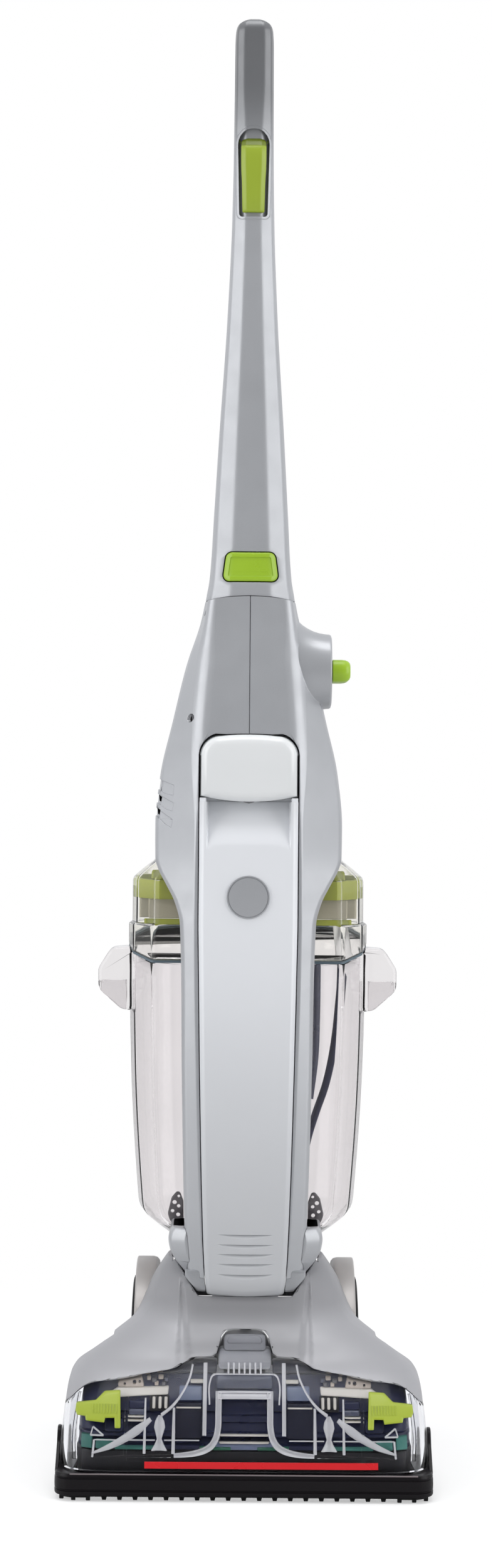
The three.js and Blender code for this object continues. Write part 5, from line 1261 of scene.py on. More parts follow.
def below_seam(grow, near, far):
    """Everything below the joint of hood and cover as seen from ahead, or a little more."""
    right = [(x, z + grow) for x, z in SEAM]
    right += [(x + grow, z + grow) for x, z in TAB_SIDE] + [(9, 114.4 + grow)]
    left = [(-x, z) for x, z in reversed(right)]
    return extruded([(-165, 0), (165, 0), *right, *left], "y", (near, far))


fender_gaps = []
for _, side in SIDES:
    reach = span(side, 68.9, 260)
    fender_gaps += [round_bar(84, *reach, "x", AXLE_AT, 96), slab(reach, (-52, 260), (0, 106))]
cover_inside = foot_skin(-3.4, HOOD_REAR + 20, 0, 170, 50, count=120)
hood_cuts = [
    foot_skin(-3.4, HOOD_REAR + 20, 10, 170, 50, count=120),
    below_seam(0.5, -300, 300), *fender_gaps,
    slab((-57.5, 57.5), (-24, 300), (0, 400)), slab((-300, 300), (21, 300), (0, 400)),
    extruded([(-57.5, 400), (-57.5, 163.5), (-48.6, 152.2), (-39.2, 139.6), (-37, 136.9), (37, 136.9),
              (39.2, 139.6), (48.6, 152.2),
              (57.5, 163.5), (57.5, 400)], "y", (-300, 0)),
]
piece(
    "hood_shell", foot_skin(0, relief=hood_relief, rows=110, count=300), "hood_grey", "foot", "hood",
    cuts=hood_cuts,
    bevel=0.7, smooth=30,
)


# ------------------------------------------------------------ foot: clear cover
STRIP_ROUND = ((-0.5, None), (-0.5, 0.0), (-0.36, 0.75), (-0.15, 1.0), (0.15, 1.0), (0.36, 0.75), (0.5, 0.0),
               (0.5, None))
STRIP_DISHED = ((-0.5, None), (-0.5, 0.4), (-0.42, 1.0), (-0.32, 0.9), (-0.2, 0.1), (0.2, 0.1), (0.32, 0.9),
                (0.42, 1.0), (0.5, 0.4), (0.5, None))


def surface_strip(path, width, proud, sunk=1.2, grow=0.0, count=60, profile=STRIP_ROUND):
    """A rib that follows the cover's face along a path of (x, z)."""
    line = curve_through([(x, 0, z) for x, z in path], count)
    widths = np.interp(np.linspace(0, 1, count), np.linspace(0, 1, len(np.atleast_1d(width))),
                       np.atleast_1d(width))
    ways = np.gradient(line, axis=0)
    ways /= np.linalg.norm(ways, axis=1)[:, None]
    rings = []
    for point, way, w in zip(line, ways, widths):
        across = np.array([way[2], 0, -way[0]])
        ring = []
        for off, share in profile:
            spot = point + across * off * w
            rise = -sunk if share is None else share * proud
            ring.append((spot[0], foot_y(spot[0], spot[2], grow) - rise, spot[2]))
        rings.append(ring)
    return skin(rings)


def rib(side, points, *sizes, **more):
    """A rib along points drawn for the right side."""
    return surface_strip([(side * x, z) for x, z in points], *sizes, **more)


cover_ribs = []
for _, side in SIDES:
    cover_ribs += [
        rib(side, [(55, 33.7), (80, 33.2), (100, 32.6), (118, 32)], (2.5, 1.5, 1.0), 0.7),
        rib(side, [(89.5, 78), (89.6, 60), (89.8, 30)], 2.4, 0.7),
        rib(side, [(126, 74), (128, 60), (129, 45), (128, 30)], (2.0, 3.0, 4.0), 0.9),
    ]


def trim_cover(obj):
    """Cuts the clear cover to its edge, hollows it and adds its ribs."""
    combine(obj, "INTERSECT", below_seam(0, -300, -52))
    combine(obj, "DIFFERENCE", cover_inside, slab((-300, 300), (-300, 300), (0, 22.4)))
    combine(obj, "UNION", *cover_ribs)


piece("cover_shell", foot_skin(0, rows=70, count=220), "cover_clear", "cover", "nozzle_cover",
      after=trim_cover, smooth=30, slot="clear_plastic")


def cover_edges(name, strips):
    """Ribs of the clear cover, joined to one piece."""
    piece(name, strips[0], "edge_clear", "cover", joins=strips[1:], slot="clear_plastic", smooth=50)


for name, side in SIDES:
    leg = [(19.7, 75.6), (19.7, 62), (19.9, 52), (21.5, 45), (25, 40), (30, 37.2), (36, 35.5), (44, 34.4),
           (53, 33.8)]
    sweep = [(71, 57.5), (78.4, 52), (88.5, 45.7), (100.2, 39.8), (115, 34.4)]
    swell = [(64.2, 60), (64.2, 57), (64.2, 52.5), (64.2, 48), (64.2, 45.2), (64.2, 41), (64.2, 37)]
    leg_widths, swell_widths = (4.8, 4.8, 4.8, 4.8, 4.2, 3.4, 2.6), (2.5, 7.0, 8.4, 6.0, 3.6, 7.0, 12.0)
    cover_edges(f"cover_leg_{name}", [rib(side, leg, leg_widths, 1.5, 0.6, profile=STRIP_DISHED)])
    cover_edges(f"cover_sweep_{name}", [rib(side, sweep, (3.0, 6.2, 5.2, 3.6, 1.2), 1.0, 0.5)])
    cover_edges(f"cover_boss_{name}", [rib(side, swell, swell_widths, 1.2, 0.5, profile=STRIP_DISHED)])
    cover_edges(f"cover_curve_{name}", [
        rib(side, [(40, 92), (41.6, 85.2), (44.8, 78.5), (50.5, 70.4), (56.7, 64.4), (63, 60.2)],
            (1.6, 1.6, 2.4), 1.3, 0.5),
    ])
    cover_edges(f"cover_lines_{name}", [
        rib(side, [(53.6, 65), (53.6, 50), (53.6, 35)], (1.8, 2.4, 2.6), 0.9, 0.5),
        rib(side, [(75.4, 71), (75.4, 50), (75.4, 35)], (1.4, 1.8, 2.2), 0.9, 0.5),
        rib(side, [(22.6, 86.4), (25.1, 84.8), (26.5, 81.4), (26.6, 67.2)], 1.3, 0.8, 0.5),
        rib(side, [(30.2, 93), (30.2, 70), (30.2, 47)], 3.0, 0.5, 0.4, profile=STRIP_DISHED),
        rib(side, [(34, 43.7), (48, 43.7), (60.5, 43.7)], 0.8, 0.5, 0.5),
        rib(side, [(67.5, 43.7), (90, 43.6), (113.5, 43.4)], 0.8, 0.5, 0.5),
        rib(side, [(106.6, 46.4), (116.4, 46.4)], 1.2, 0.6, 0.5, count=8),
        rib(side, [(106.6, 46.4), (114.6, 52)], 1.2, 0.6, 0.5, count=8),
        rib(side, [(114.6, 52), (116.4, 46.4)], 1.0, 0.6, 0.5, count=8),
        rib(side, [(113.6, 43.4), (114, 38), (114.5, 32)], 1.6, 0.7, 0.5),
    ])
bar = [(-19.6, 73.2), (0, 73.3), (19.6, 73.2)]
cover_edges("cover_bar", [surface_strip(bar, 5.2, 1.5, 0.6, profile=STRIP_DISHED)])
teeth = [surface_strip([(4.15 * i, 93.2), (4.15 * i, 86.8)], 1.6, 1.3, 0.5, count=6) for i in range(-3, 4)]
cover_edges("cover_teeth", [*teeth, surface_strip([(-22.4, 86.3), (0, 86.3), (22.4, 86.3)], 0.9, 0.7, 0.5)])


# ------------------------------------------------------------ foot: inside the cover
def soft_band(value, low, high, soft=0.4):
    """One between low and high, with soft ends."""
    return smoothstep(value, low - soft, low + soft) * (1 - smoothstep(value, high - soft, high + soft))


def panel_y(x, z):
    """Front of the dark panel: the cover's shape set back, with stepped bands moulded into it."""
    off = abs(x)
    middle, aside = soft_band(off, -9, 17.5), soft_band(off, 17.5, 140)
    depth = middle * (5.5 * soft_band(z, 57, 68.5) + 2.2 * soft_band(z, 52.5, 57)
                      + 4.5 * soft_band(z, 45.9, 52.5) + 7.0 * soft_band(z, 40.9, 44.5))
    depth += aside * (3.0 * soft_band(z, 46, 60) + 5.0 * soft_band(z, 38, 43.2))
    return foot_y(x, z, -11.9) + depth


def panel_shape(back=0.0, low=35.0, high=84.0):
    """The dark panel as a solid, or the same set back."""
    edges = [s * e for s in (-1, 1) for e in (17.1, 17.9)]
    steps = [38, 40.9, 43.2, 44.5, 46, 52.5, 57, 60, 68.5]
    spots = np.unique(np.concatenate([np.linspace(-124, 124, 110), edges]))
    fine = [s + d for s in steps for d in (-0.4, -0.15, 0.15, 0.4)]
    levels = np.unique(np.concatenate([np.linspace(low, high, 30), fine]))
    rings = []
    for z in levels:
        front = [(x, panel_y(x, z) + back, z) for x in spots if abs(x) < 124.5 - back]
        side = foot_at(z)[0] - 12.2 - back
        right = [(min(side, 127.6 - back), front[-1][1] + 9, z), (min(side, 127.8 - back), -62 + 3 * back, z)]
        left = [(-x, y, z) for x, y, z in reversed(right)]
        rings.append(front + right + left)
    return skin(rings)


piece("inner_panel_shell", panel_shape(), "navy_plastic", "foot", "inner_panel",
      cuts=[panel_shape(3.2, 33.0, 81.2)], smooth=30)


def follow(outline, set_in, levels, steps=4):
    """A plate whose face follows the cover at a distance behind it, through levels of (narrow, back)."""
    return skin([[(x, foot_y(x, z, -set_in) + back, z) for x, z in narrowed(outline, narrow, steps)]
                 for narrow, back in levels])


def front_box(name, x, z, set_in, depth, look, soft=1.2, slot="navy_plastic"):
    """A rounded box whose face follows the cover at a distance behind it."""
    corners = [(x[0], z[0], soft), (x[1], z[0], soft), (x[1], z[1], soft), (x[0], z[1], soft)]
    shape = follow(corners, set_in, ((0, depth), (0, 0.9), (0.25, 0.35), (0.9, 0)))
    return piece(name, shape, look, "foot", smooth=40, slot=slot)


def light_line(name, x, z, set_in, soft=0.4):
    """A thin pale bar seen through the cover: the comb's bars, and painted highlights along the edges of the
    dark parts.
    """
    front_box(name, x, z, set_in, 4, "cream_plastic", soft, "white_shell")


# x, height, width and look of the small clips above the comb
CLIPS = (
    (60, 80.6, 3, "slate_plastic"), (64.4, 82, 4, "beige_plastic"), (69.4, 80, 3.4, "grey_plastic"),
    (73.6, 81.4, 3, "beige_plastic"), (62, 77.8, 3, "grey_plastic"), (67.6, 78, 3, "beige_plastic"),
)
for name, side in SIDES:
    front_box(f"side_box_{name}", span(side, 32.4, 52.2), (42.8, 66), 8.6, 6, "ink_plastic")
    # Painted highlight: a pale line along the dark side box, where its edge catches the light.
    light_line(f"side_highlight_{name}", span(side, 33, 52), (62.4, 63.6), 7.9)
    front_box(f"side_top_{name}", span(side, 32.6, 50), (67.4, 76.6), 9.0, 6, "blue_plastic")
    front_box(f"side_cap_{name}", span(side, 31.6, 41.6), (78.4, 80.6), 8.4, 5, "cream_plastic", 0.8,
              "white_shell")
    front_box(f"outer_box_{name}", span(side, 75.6, 88.2), (62.2, 67.4), 8.4, 6, "navy_plastic", slot=None)
    front_box(f"outer_step_{name}", span(side, 75.6, 88.2), (58.0, 62.0), 8.4, 6, "slate_plastic")
    # Painted highlights: two pale lines below the outer step.
    for i, z in enumerate((57.0, 54.4)):
        light_line(f"outer_highlight_{name}_{i}", span(side, 76.5, 89), (z - 0.5, z + 0.5), 7.8)
    front_box(f"low_box_{name}", span(side, 92, 106), (46.5, 55), 9.4, 6, "navy_plastic", 2, None)
    front_box(f"comb_back_{name}", span(side, 57.6, 72.4), (60.4, 70.4), 9.5, 6, "black_plastic", slot=None)
    for i, x in enumerate((60, 64.5, 69.2)):
        light_line(f"comb_bar_{name}_{i}", span(side, x - 1.15, x + 1.15), (62.4, 69.8), 7.2, 0.8)
    for i, (x, z, width, look) in enumerate(CLIPS):
        across = span(side, x - width / 2, x + width / 2)
        front_box(f"clip_{name}_{i}", across, (z - 1.2, z + 1.2), 8.2, 5, look, 0.7, "dark_grey")
    band = [(58, 76.6, 1), (58.6, 71.4, 1), (73, 70.8, 1), (104.6, 68.8, 1), (104.4, 70.8, 1),
            (97.4, 75.2, 2), (62, 76.2, 1)]
    keeper = [(77, 75.9, 1), (97, 75.9, 1), (97.4, 79.2, 2), (79, 82.4, 1)]
    brackets = (
        ("band", "cream_plastic", band, ()),
        ("plate", "beige_plastic", keeper, ((84.6, 79, 1.5), (80.6, 79.4, 1.0), (92, 77.8, 1.0))),
    )
    for label, look, outline, holes in brackets:
        plate = follow(on_side(side, outline), 7.4, ((0, 5), (0, 0.8), (0.8, 0)), 3)
        pits = [round_bar(r, -150, -60, "y", (side * x, 0, z), 14) for x, z, r in holes]
        piece(f"latch_{label}_{name}", plate, look, "foot", cuts=pits, smooth=35, slot="white_shell")
    # bristle edging and the seal seen low down through the cover
    for i, (low, high, top) in enumerate(((60, 98, 37.6), (100, 112.6, 41.2), (115.4, 124, 44.2))):
        front_box(f"bristle_edge_{name}_{i}", span(side, low, high), (35.2, top), 8.4, 5, "bristle", 0.6,
                  None)
    front_box(f"green_seal_{name}", span(side, 10, 34), (35.1, 37.4), 8.2, 5, "deep_green", 0.6, "green_trim")
front_box("duct_step", (-21.5, 21.5), (75.2, 83.6), 8.5, 6, "slate_plastic")
front_box("panel_grey", (-24, 24), (35.2, 39.8), 9.2, 6, "blue_plastic", 0.5)
# Painted highlights: pale lines along the edges of the steps in the dark panel.
for i, z in enumerate((45.2, 40.3)):
    light_line(f"panel_highlight_{i}", (-19, 19), (z - 0.4, z + 0.4), 8.0, 0.3)
front_box("tab_back", (-20.5, 20.5), (87.5, 101), 6.4, 9, "hood_grey", 3, slot="dark_grey")
front_box("tab_top", (-16.5, 16.5), (99.6, 110.4), 4.8, 9, "hood_grey", 2.5, slot="dark_grey")
for name, side in SIDES:
    front_box(f"upper_wall_{name}", span(side, 21.5, 76), (84.6, 93), 9.4, 8, "ink_plastic")
piece("suction_duct_shell", prism([(-16.6, 84.5, 2), (16.6, 84.5, 2), (13, 109.6, 4), (-13, 109.6, 4)], "y",
                                  [(1.2, -78), (0, -76.8), (0, -19.4), (0.8, -19)]),
      "hood_grey", "foot", "suction_duct", keeps=[foot_skin(-4.0, 60, 60, 130, 50, count=120)], bevel=0.6,
      slot="navy_plastic")
motor_low, motor_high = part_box("brush_motor")
PINION_X, PINION_Y = 500 * (motor_low.x + motor_high.x), 500 * (motor_low.y + motor_high.y) - SHIFT
can = [(4.6, 34.9), (15.2, 34.9), (15.9, 35.6), (15.9, 41), (15.3, 41.4), (15.3, 42.4), (15.9, 42.8),
       (15.9, 72.6), (14.6, 75.2),
       (8.4, 76.4), (7, 77), (6.6, 79), (5.8, 79.4), (0, 79.4)]
piece("brush_motor_can", turned(can, "z", (PINION_X, PINION_Y, 0), 48), "steel", "foot", "brush_motor",
      smooth=30)


# ------------------------------------------------------------ foot: brushes and gears
def gear_outline(node):
    """The gear's outline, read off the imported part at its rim."""
    mesh = frame["nodes"][node]
    corners = [mesh.matrix_world @ v.co for v in mesh.data.vertices]
    return {(round(1000 * p.x, 3), round(1000 * p.y - SHIFT, 3))
            for p in corners if abs(1000 * p.z - 19) < 3.6 and 1000 * p.z > 15.9}


def gear(node, middle, inner):
    """Rim with rounded tooth edges: the node's own teeth, ordered round its middle."""
    cx, cy = middle
    teeth = [(x, y) for x, y in gear_outline(node) if math.hypot(x - cx, y - cy) > inner]
    teeth.sort(key=lambda p: math.atan2(p[1] - cy, p[0] - cx))
    rings = []
    for shrink, z in ((0.5, 16), (0, 16.5), (0, 21.5), (0.5, 22)):
        ring = []
        for x, y in teeth:
            r = math.hypot(x - cx, y - cy)
            ring.append((cx + (x - cx) * (r - shrink) / r, cy + (y - cy) * (r - shrink) / r, z))
        rings.append(ring)
    return skin(rings)


def bristles(middle, rings_of, seed):
    """Tufts of fine bristles, each leaning out a little."""
    rng = np.random.default_rng(seed)
    vertices, faces = [], []
    for radius, count in rings_of:
        for k in range(count):
            turn = 2 * math.pi * (k + 0.5 * (radius > 12)) / count
            root = np.array([middle[0] + radius * math.cos(turn), middle[1] + radius * math.sin(turn), 16.4])
            for _ in range(9):
                angle, off = rng.uniform(0, 2 * math.pi), 1.6 * math.sqrt(rng.uniform(0, 1))
                start = root + (off * math.cos(angle), off * math.sin(angle), 0)
                lean = 0.6 + 0.5 * off
                tip = np.array([start[0] + lean * math.cos(angle), start[1] + lean * math.sin(angle),
                                rng.uniform(0.05, 0.7)])
                base = len(vertices)
                for point, r in ((start, 0.34), (tip, 0.26)):
                    for s in range(4):
                        way = s * math.pi / 2
                        vertices.append(point + (r * math.cos(way), r * math.sin(way), 0))
                faces += [(base + s, base + (s + 1) % 4, base + 4 + (s + 1) % 4, base + 4 + s)
                          for s in range(4)]
                faces.append((base + 7, base + 6, base + 5, base + 4))
    return np.array(vertices), faces


for i in range(1, 7):
    node = f"spin_brush_{i}"
    low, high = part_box(node)
    middle = (500 * (low.x + high.x), 500 * (low.y + high.y) - SHIFT)
    hub = turned([(0, 21), (4, 21), (4, 26.5), (5.4, 26.5), (5.6, 26.8), (5.6, 28), (5.2, 28.4), (2, 28.4),
                  (1.6, 27.6), (0, 27.6)],
                 "z", (*middle, 0), 32)
    holes = []
    for radius, count, lag in ((14.5, 10, 0.5), (7.5, 5, 0)):
        for k in range(count):
            angle = 2 * math.pi * (k + lag) / count
            root = (middle[0] + radius * math.cos(angle), middle[1] + radius * math.sin(angle), 0)
            holes.append(round_bar(2.1, 15, 16.5, "z", root, 10))
    piece(f"brush_disc_{i}", gear(node, middle, 16), "brush_disc", f"brush_{i}", node, joins=[hub],
          slot="bristle", smooth=30)
    piece(f"brush_tufts_{i}", bristles(middle, ((14.5, 10), (7.5, 5)), i), "bristle", f"brush_{i}", node,
          smooth=60)
pinion_hub = turned([(0, 16.6), (3.4, 16.6), (4, 17.2), (4, 37.6), (3.4, 38.4), (0, 38.4)], "z",
                    (PINION_X, PINION_Y, 0), 32)
piece("pinion_gear", gear("drive_pinion", (PINION_X, PINION_Y), 5), "steel", "pinion", "drive_pinion",
      joins=[pinion_hub], smooth=30)


# ------------------------------------------------------------ foot: wheels and fenders
def ring_solid(rings):
    """A ring-shaped solid: sections joined one to the next and the last to the first."""
    rings = np.asarray(rings, float)
    rows, count = rings.shape[:2]
    faces = [(r * count + i, r * count + (i + 1) % count, ((r + 1) % rows) * count + (i + 1) % count,
              ((r + 1) % rows) * count + i)
             for r in range(rows) for i in range(count)]
    return rings.reshape(-1, 3), faces


WHEEL_IN = 72.6


def tyre_shape(side):
    """A tyre whose tread is cut across at every sixth step."""
    rings = []
    for k in range(216):
        angle = 2 * math.pi * k / 216
        cut = 1.1 if k % 6 in (2, 3) else 0.0
        section = [(60.1, 0.6), (64.9, 0.5), (66.7, 1.2), (67.9, 2.6), (68.5 - cut, 4.2), (68.5 - cut, 7.8),
                   (68.5, 8.5), (67.5, 8.9),
                   (67.5, 10.1), (68.5, 10.5), (68.5 - cut, 11.2), (68.5 - cut, 14.8), (67.9, 16.4),
                   (66.7, 17.8), (64.9, 18.5), (60.1, 18.4)]
        rings.append([(side * (WHEEL_IN + d), AXLE_Y + r * math.cos(angle), AXLE_Z + r * math.sin(angle))
                      for r, d in section])
    return ring_solid(rings)


HUB = [(4.3, 0.4), (59.2, 0.2), (59.8, 0.8), (59.8, 18.2), (59.2, 18.9), (55.4, 19), (54.2, 18.4),
       (53.3, 15.5), (52.0, 10.6), (50.4, 9.4),
       (18.0, 8.6), (15.0, 9.6), (13.2, 12.6), (12.4, 16.4), (11.4, 18.4), (9.8, 19), (6.4, 19), (5.8, 18.2),
       (4.3, 18.2)]
for name, side in SIDES:
    windows = []
    for k in range(6):
        turn = math.pi * k / 3 + 0.26
        spots = [(20.5, -0.3), (47.5, -0.42), (47.5, 0.42), (20.5, 0.3)]
        outline = [(AXLE_Y + r * math.cos(turn + a), AXLE_Z + r * math.sin(turn + a), 4.0) for r, a in spots]
        near, far = span(side, WHEEL_IN + 4.2, WHEEL_IN + 12)
        windows.append(prism(outline, "x", [(0, near), (0, far)], 4))
    profile = [(r, side * (WHEEL_IN + d)) for r, d in HUB]
    piece(f"hub_{name}", turned([*profile, profile[0]], "x", AXLE_AT, 96), "wheel_grey", f"wheel_{name}",
          f"wheel_hub_{name}",
          cuts=windows, bevel=0.4, smooth=30, slot="dark_grey")
    piece(f"tyre_{name}_tread", tyre_shape(side), "rubber", f"wheel_{name}", f"tyre_{name}", smooth=30)
    shell = [(4.4, 69.9), (76, 69.9), (79.6, 70.6), (81.7, 72.6), (82.45, 75.6), (82.45, 87.6), (81.9, 88.5),
             (80.4, 88.5), (79.9, 87.6),
             (79.9, 76), (79.2, 73.6), (77, 72.3), (74, 71.9), (4.4, 71.9)]
    shell = [(r, side * d) for r, d in shell]
    low_cut = slab((-200, 200), (-200, 300), (-100, 40.2))
    wall_cut = slab(span(side, 72, 200), (-200, 300), (-100, 48.6))
    piece(f"fender_{name}_shell", turned([*shell, shell[0]], "x", AXLE_AT, 128), "fender_silver", "foot",
          f"fender_{name}",
          cuts=[low_cut, wall_cut], bevel=0.5, smooth=30, slot="silver_shell")
bar = [(0, -96), (2.6, -96), (3.7, -95.3), (4, -94.4), (4, -93.8), (6.6, -93.8), (6.9, -93.4), (6.9, -92.6),
       (6.6, -92.2), (4, -92.2)]
bar += [(r, -w) for r, w in reversed(bar)]
piece("axle_bar", turned(bar, "x", AXLE_AT, 40), "steel", "foot", "wheel_axle", smooth=30)


# ------------------------------------------------------------ foot: bumper and squeegees
BUMPER_CORNERS = [(-143.3, -151.5, 14), (143.3, -151.5, 14), (143.3, -85.5, 6), (-143.3, -85.5, 6)]
BUMPER_LEVELS = [(1.6, 4), (0.5, 4.4), (0.05, 5.4), (0, 7.4), (0.9, 7.9), (0.9, 8.5), (0.1, 9.1), (0, 12),
                 (0.15, 16.6), (1.0, 17.1),
                 (1.0, 17.7), (0.35, 18.2), (0.5, 19.6), (1.2, 20.7), (2.4, 21)]
wings = []
for _, side in SIDES:
    corners = [(-136, 18, 1), (-90, 18, 1), (-91.5, 40, 8), (-97, 46, 6), (-106, 46, 7), (-113, 36, 9)]
    near, far = span(side, 140.5, 143.25)
    wings.append(prism(corners, "x", [(0.5, near), (0, near + 0.4), (0, far - 0.5), (0.6, far)]))
bumper_inside = prism([(-129.3, -146, 9), (129.3, -146, 9), (129.3, 10, 1), (-129.3, 10, 1)], "z",
                      [(0, 0), (0, 60)])
piece("bumper_band", prism(BUMPER_CORNERS, "z", BUMPER_LEVELS, 8), "bumper_black", "foot", "bumper",
      cuts=[bumper_inside], joins=wings, smooth=30, slot="black_plastic")
# A lighter strip along the bumper's top front edge, where the edge catches the light: a painted highlight.
front_edge_highlight = []
for x in np.linspace(-131, 131, 60):
    front_edge_highlight.append([(x, -151.15 + dy, 20.2 + dz)
                       for dy, dz in ((0, 0), (0, 0.5), (0.5, 0.85), (1.2, 0.85), (1.2, 0))])
piece("bumper_edge_highlight", skin(front_edge_highlight), "bumper_edge_highlight", "foot", smooth=40, slot="black_plastic")
for name, side in SIDES:
    nubs = []
    for x, y in ((side * 117.3, -146.6), (side * 128.4, -146), (side * 137.6, -141.4)):
        corners = [(x - 1.8, y - 1.1, 0.5), (x + 1.8, y - 1.1, 0.5), (x + 1.4, y + 1.1, 0.5),
                   (x - 1.4, y + 1.1, 0.5)]
        nubs.append(prism(corners, "z", [(0.3, 0.1), (0, 0.6), (0, 5)]))
    corners = [(116.5, -147.4, 0.3), (130, -147.4, 0.3), (138.6, -142.6, 0.3), (137.6, -140.8, 0.3),
               (129.6, -145.6, 0.3),
               (116.5, -145.6, 0.3)]
    strip = prism(on_side(side, corners), "z", [(0, 2.2), (0, 5)])
    piece(f"fringe_end_{name}", strip, "rubber", "foot", joins=nubs, smooth=25)


def fringe():
    """The front lip with its row of nubs."""
    pitch = 11.7
    outline = [(116, 17.6), (-116, 17.6), (-116, 2.4)]
    for i in range(19):
        x = (i - 9) * pitch
        outline += [(x - 2.0, 2.4), (x - 1.5, 0.1), (x + 1.5, 0.1), (x + 2.0, 2.4)]
    outline.append((116, 2.4))
    return extruded(outline, "y", (-145.6, -143.3))


piece("front_lip", fringe(), "rubber", "foot", "front_squeegee", bevel=0.25, smooth=25)
rear_lip = [(-53.6, 0.3), (-53.2, 0.05), (-52.4, 0.05), (-52.0, 0.6), (-51.9, 9), (-51.25, 12), (-51.25, 22),
            (-53.65, 22), (-53.65, 3)]
piece("rear_lip", skin([[(x, y, z) for y, z in rear_lip] for x in (-116.0, 116.0)]), "rubber", "foot",
      "rear_squeegee", bevel=0.2, smooth=25)


# ------------------------------------------------------------ softened copies
def own_shape(node):
    """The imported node's own corners and faces in drawing millimetres."""
    source = frame["nodes"][node]
    points = np.array([source.matrix_world @ v.co for v in source.data.vertices]) * 1000 - (0, SHIFT, 0)
    return points, [tuple(f.vertices) for f in source.data.polygons]


def level_faces(obj):
    """Joins the triangles of each flat face."""
    work = bmesh.new()
    work.from_mesh(obj.data)
    bmesh.ops.dissolve_limit(work, angle_limit=0.01, verts=work.verts, edges=work.edges)
    work.to_mesh(obj.data)
    work.free()


def softened(name, node, look, body, bevel=0.5, slot=None, **more):
    """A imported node's own shape with softened edges and its look."""
    return piece(name, own_shape(node), look, body, node, after=level_faces, bevel=bevel, smooth=28,
                 slot=slot, **more)


deck_ribs = [slab((x - 0.9, x + 0.9), (-54, 10), (27.9, 30.5)) for x in (-48, -24, 0, 24, 48)]
softened("chassis_tray", "chassis", "black_plastic", "foot", 0.8, joins=deck_ribs)
softened("carriage_plate", "brush_carriage", "black_plastic", "foot", 0.4)
softened("yoke_frame", "pivot_yoke", "yoke_grey", "upright", 0.7, slot="dark_grey")
softened("lower_hook", "lower_cord_hook", "dark_grey", "upright", 0.8)
softened("upper_hook", "upper_cord_hook", "dark_grey", "cord_hook", 0.8)
softened("valve_body", "solution_valve", "black_plastic", "upright", 0.8)
softened("filter_frame", "tank_filter", "filter_green", "recovery", 0.3, slot="green_trim")
for name, side in SIDES:
    def sheet(label, x, y, z, look, narrow=0.6):
        """One flat part of the tank's filter, on one side."""
        ends = [(narrow, z[0]), (0, z[0] + narrow), (0, z[1] - narrow), (narrow, z[1])]
        near, far = span(side, *x)
        corners = [(near, y[0], 2), (far, y[0], 2), (far, y[1], 2), (near, y[1], 2)]
        piece(f"filter_{label}_{name}", prism(corners, "z", ends), look, "recovery", smooth=35,
              slot="green_trim")

    sheet("screen", (54, 80), (27, 30), (430, 446), "filter_pale")
    sheet("foot", (53, 84), (26, 31), (424.8, 429.6), "filter_green")
    sheet("block", (62, 78), (24, 30), (461.4, 468.6), "filter_green")
    sheet("wing", (78, 88), (40, 90), (430, 446), "filter_pale")
    screen = [(50.5, 181, 3), (54, 172.6, 3), (60, 178, 6), (63.5, 190, 6), (60.5, 203, 6), (54.5, 210, 3),
              (50.8, 200, 3)]
    spots = ((54, 182, 1.5), (58.4, 184, 1.8), (55, 189, 1.7), (59.6, 192, 1.5), (54.6, 196, 1.5),
             (58, 199, 1.8),
             (54.6, 204, 1.2))
    pits = [round_bar(r, 10, 40, "y", (side * x, 0, z), 12) for x, z, r in spots]
    piece(f"tank_screen_{name}",
          prism(on_side(side, screen), "y", [(0.8, 22), (0, 22.8), (0, 24.2), (0.8, 25)]), "grey_plastic",
          "recovery", cuts=pits,
          smooth=35, slot="dark_grey")
softened("gland", "cord_gland", "rubber", "upright", 0.4)
for name in ("upper", "lower"):
    node = f"housing_screw_{name}"
    low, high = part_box(node)
    y, z = screw_place(node)
    start = 1000 * low.x
    profile = [(0, 0.9), (1.0, 0.9), (1.0, 0), (2.5, 0.1), (3.1, 0.7), (3.2, 1.4), (3.2, 2.4), (1.7, 2.5),
               (1.7, 9.4), (1.1, 10), (0, 10)]
    long, thin = 2.2, 0.35
    slots = [slab((start - 1, start + 0.9), (y - dy, y + dy), (z - dz, z + dz))
             for dy, dz in ((long, thin), (thin, long))]
    piece(f"screw_{name}", turned([(r, start + d) for r, d in profile], "x", (0, y, z), 32), "screw_steel",
          "upright", node, cuts=slots, smooth=30, slot="steel")


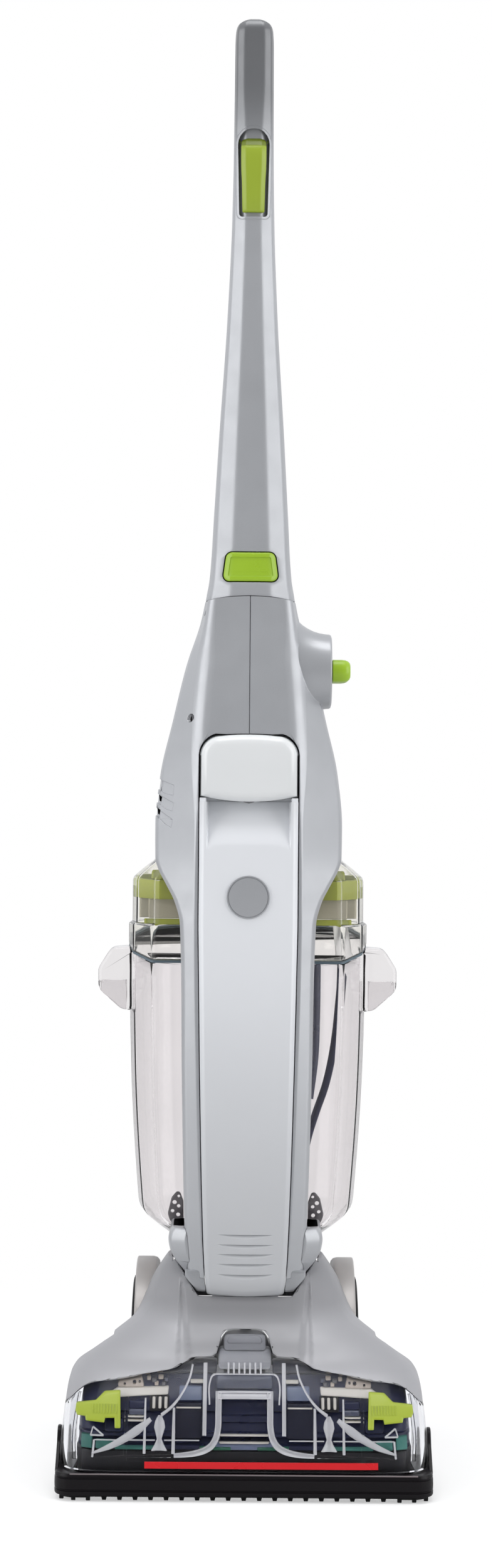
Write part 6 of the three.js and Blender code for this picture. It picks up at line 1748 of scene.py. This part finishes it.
# ------------------------------------------------------------ cover latches
for name, side in SIDES:
    face = [(93.7, 51.7, 0.8), (98.2, 51.7, 0.8), (98.6, 58.4, 0.6), (105.6, 58.2, 0.6), (106.2, 55.2, 0.6),
            (120.4, 56.2, 0.8), (121, 59, 0.6),
            (127.4, 59.4, 1.2), (128.8, 62, 1.6), (128.4, 67, 1.2), (113.4, 69.2, 3), (106.8, 75, 2.5),
            (95, 75.8, 0.8)]
    levels = ((0.0, -0.35), (0.0, 1.9), (0.25, 2.6), (0.8, 3.0), (1.8, 3.1))
    plate = skin([[(x, foot_y(x, z, proud), z) for x, z in narrowed(on_side(side, face), narrow, 4)]
                  for narrow, proud in levels])
    grips = []
    for k in range(9):
        x = side * (97.5 + 2.2 * k)
        grips.append(surface_strip([(x, 61.5), (x, 67.5)], 1.0, 0.5, 0.4, grow=3.0, count=6))
    catch = solid("catch", own_shape(f"cover_latch_{name}"))
    combine(catch, "INTERSECT", slab(span(side, 108, 114), (-140, -100), (60, 66)),
            foot_skin(-0.2, 60, 40, 90, 30, count=160))
    piece(f"latch_{name}_plate", plate, "latch_green", f"latch_{name}", f"cover_latch_{name}",
          joins=[taken(catch), *grips], smooth=35, slot="green_trim")
stripe_rings = []
for x in np.linspace(-75, 101, 80):
    stripe_rings.append([(x, foot_y(x, z, grow), z)
                         for z, grow in ((25, -0.3), (25, 0.22), (29.6, 0.22), (29.6, -0.3))])
piece("cover_stripe", skin(stripe_rings), "red_film", "cover", slot="clear_plastic", smooth=50)


# ------------------------------------------------------------ lower end of the body
# height, half width, front, rear
BELL = np.array([[150, 47.0, -43, 6], [156, 51.5, -43.5, 8], [163, 57.0, -44, 10.5], [170, 60.2, -44, 11.4],
                 [178, 61.4, -44, 11.4],
                 [184, 60.4, -43.6, 11.2], [188, 58.2, -43, 10.6]])
bell_rings = []
for z in np.linspace(150, 188, 24):
    half, front, rear = smooth_through(BELL[:, 0], BELL[:, 1:], z)[0]
    corners = [(half * 0.78, front, 3), (half - 1.5, front + 7, 5), (half, front + 16, 8),
               (half, rear - 3, 2),
               (half - 2, rear, 2)]
    bell_rings.append(at_level(rounded(mirrored(corners), 4), z))
bell_cuts = [house_skin(0.15, 140.0, 260.0), extruded(front_outline(1.3), "y", (-FAR, TANK_BACK)),
             slab((-45, 45), (-30, 20), (100, 300))]
piece("body_bell", skin(bell_rings), "silver_shell", "upright", "pivot_yoke", cuts=bell_cuts, bevel=0.5,
      smooth=35, slot="dark_grey")
tank_edge = [(tank_half(z) + 0.7, z) for z in (141, 144, 150, 160, 200)]
half = tank_edge[0][0]
tank_way = [(-x, z) for x, z in reversed(tank_edge)] + [(-half, 120), (half, 120)] + tank_edge
for name, side in SIDES:
    corners = [(29.0, 139.0, 0.5), (38.3, 139.6, 2.0), (47.7, 150.9, 3), (47.7, 156, 0.5), (29.0, 156, 0.5)]
    piece(f"rail_foot_{name}", prism(on_side(side, corners), "y",
                                     [(1.4, -47.5), (0.4, -47.1), (0, -46), (0, -36)]), "silver_shell",
                                     "upright", "pivot_yoke",
          cuts=[house_skin(0.15, 149.9, 200.0), extruded(tank_way, "y", (-FAR, TANK_BACK))], smooth=35,
          slot="dark_grey")
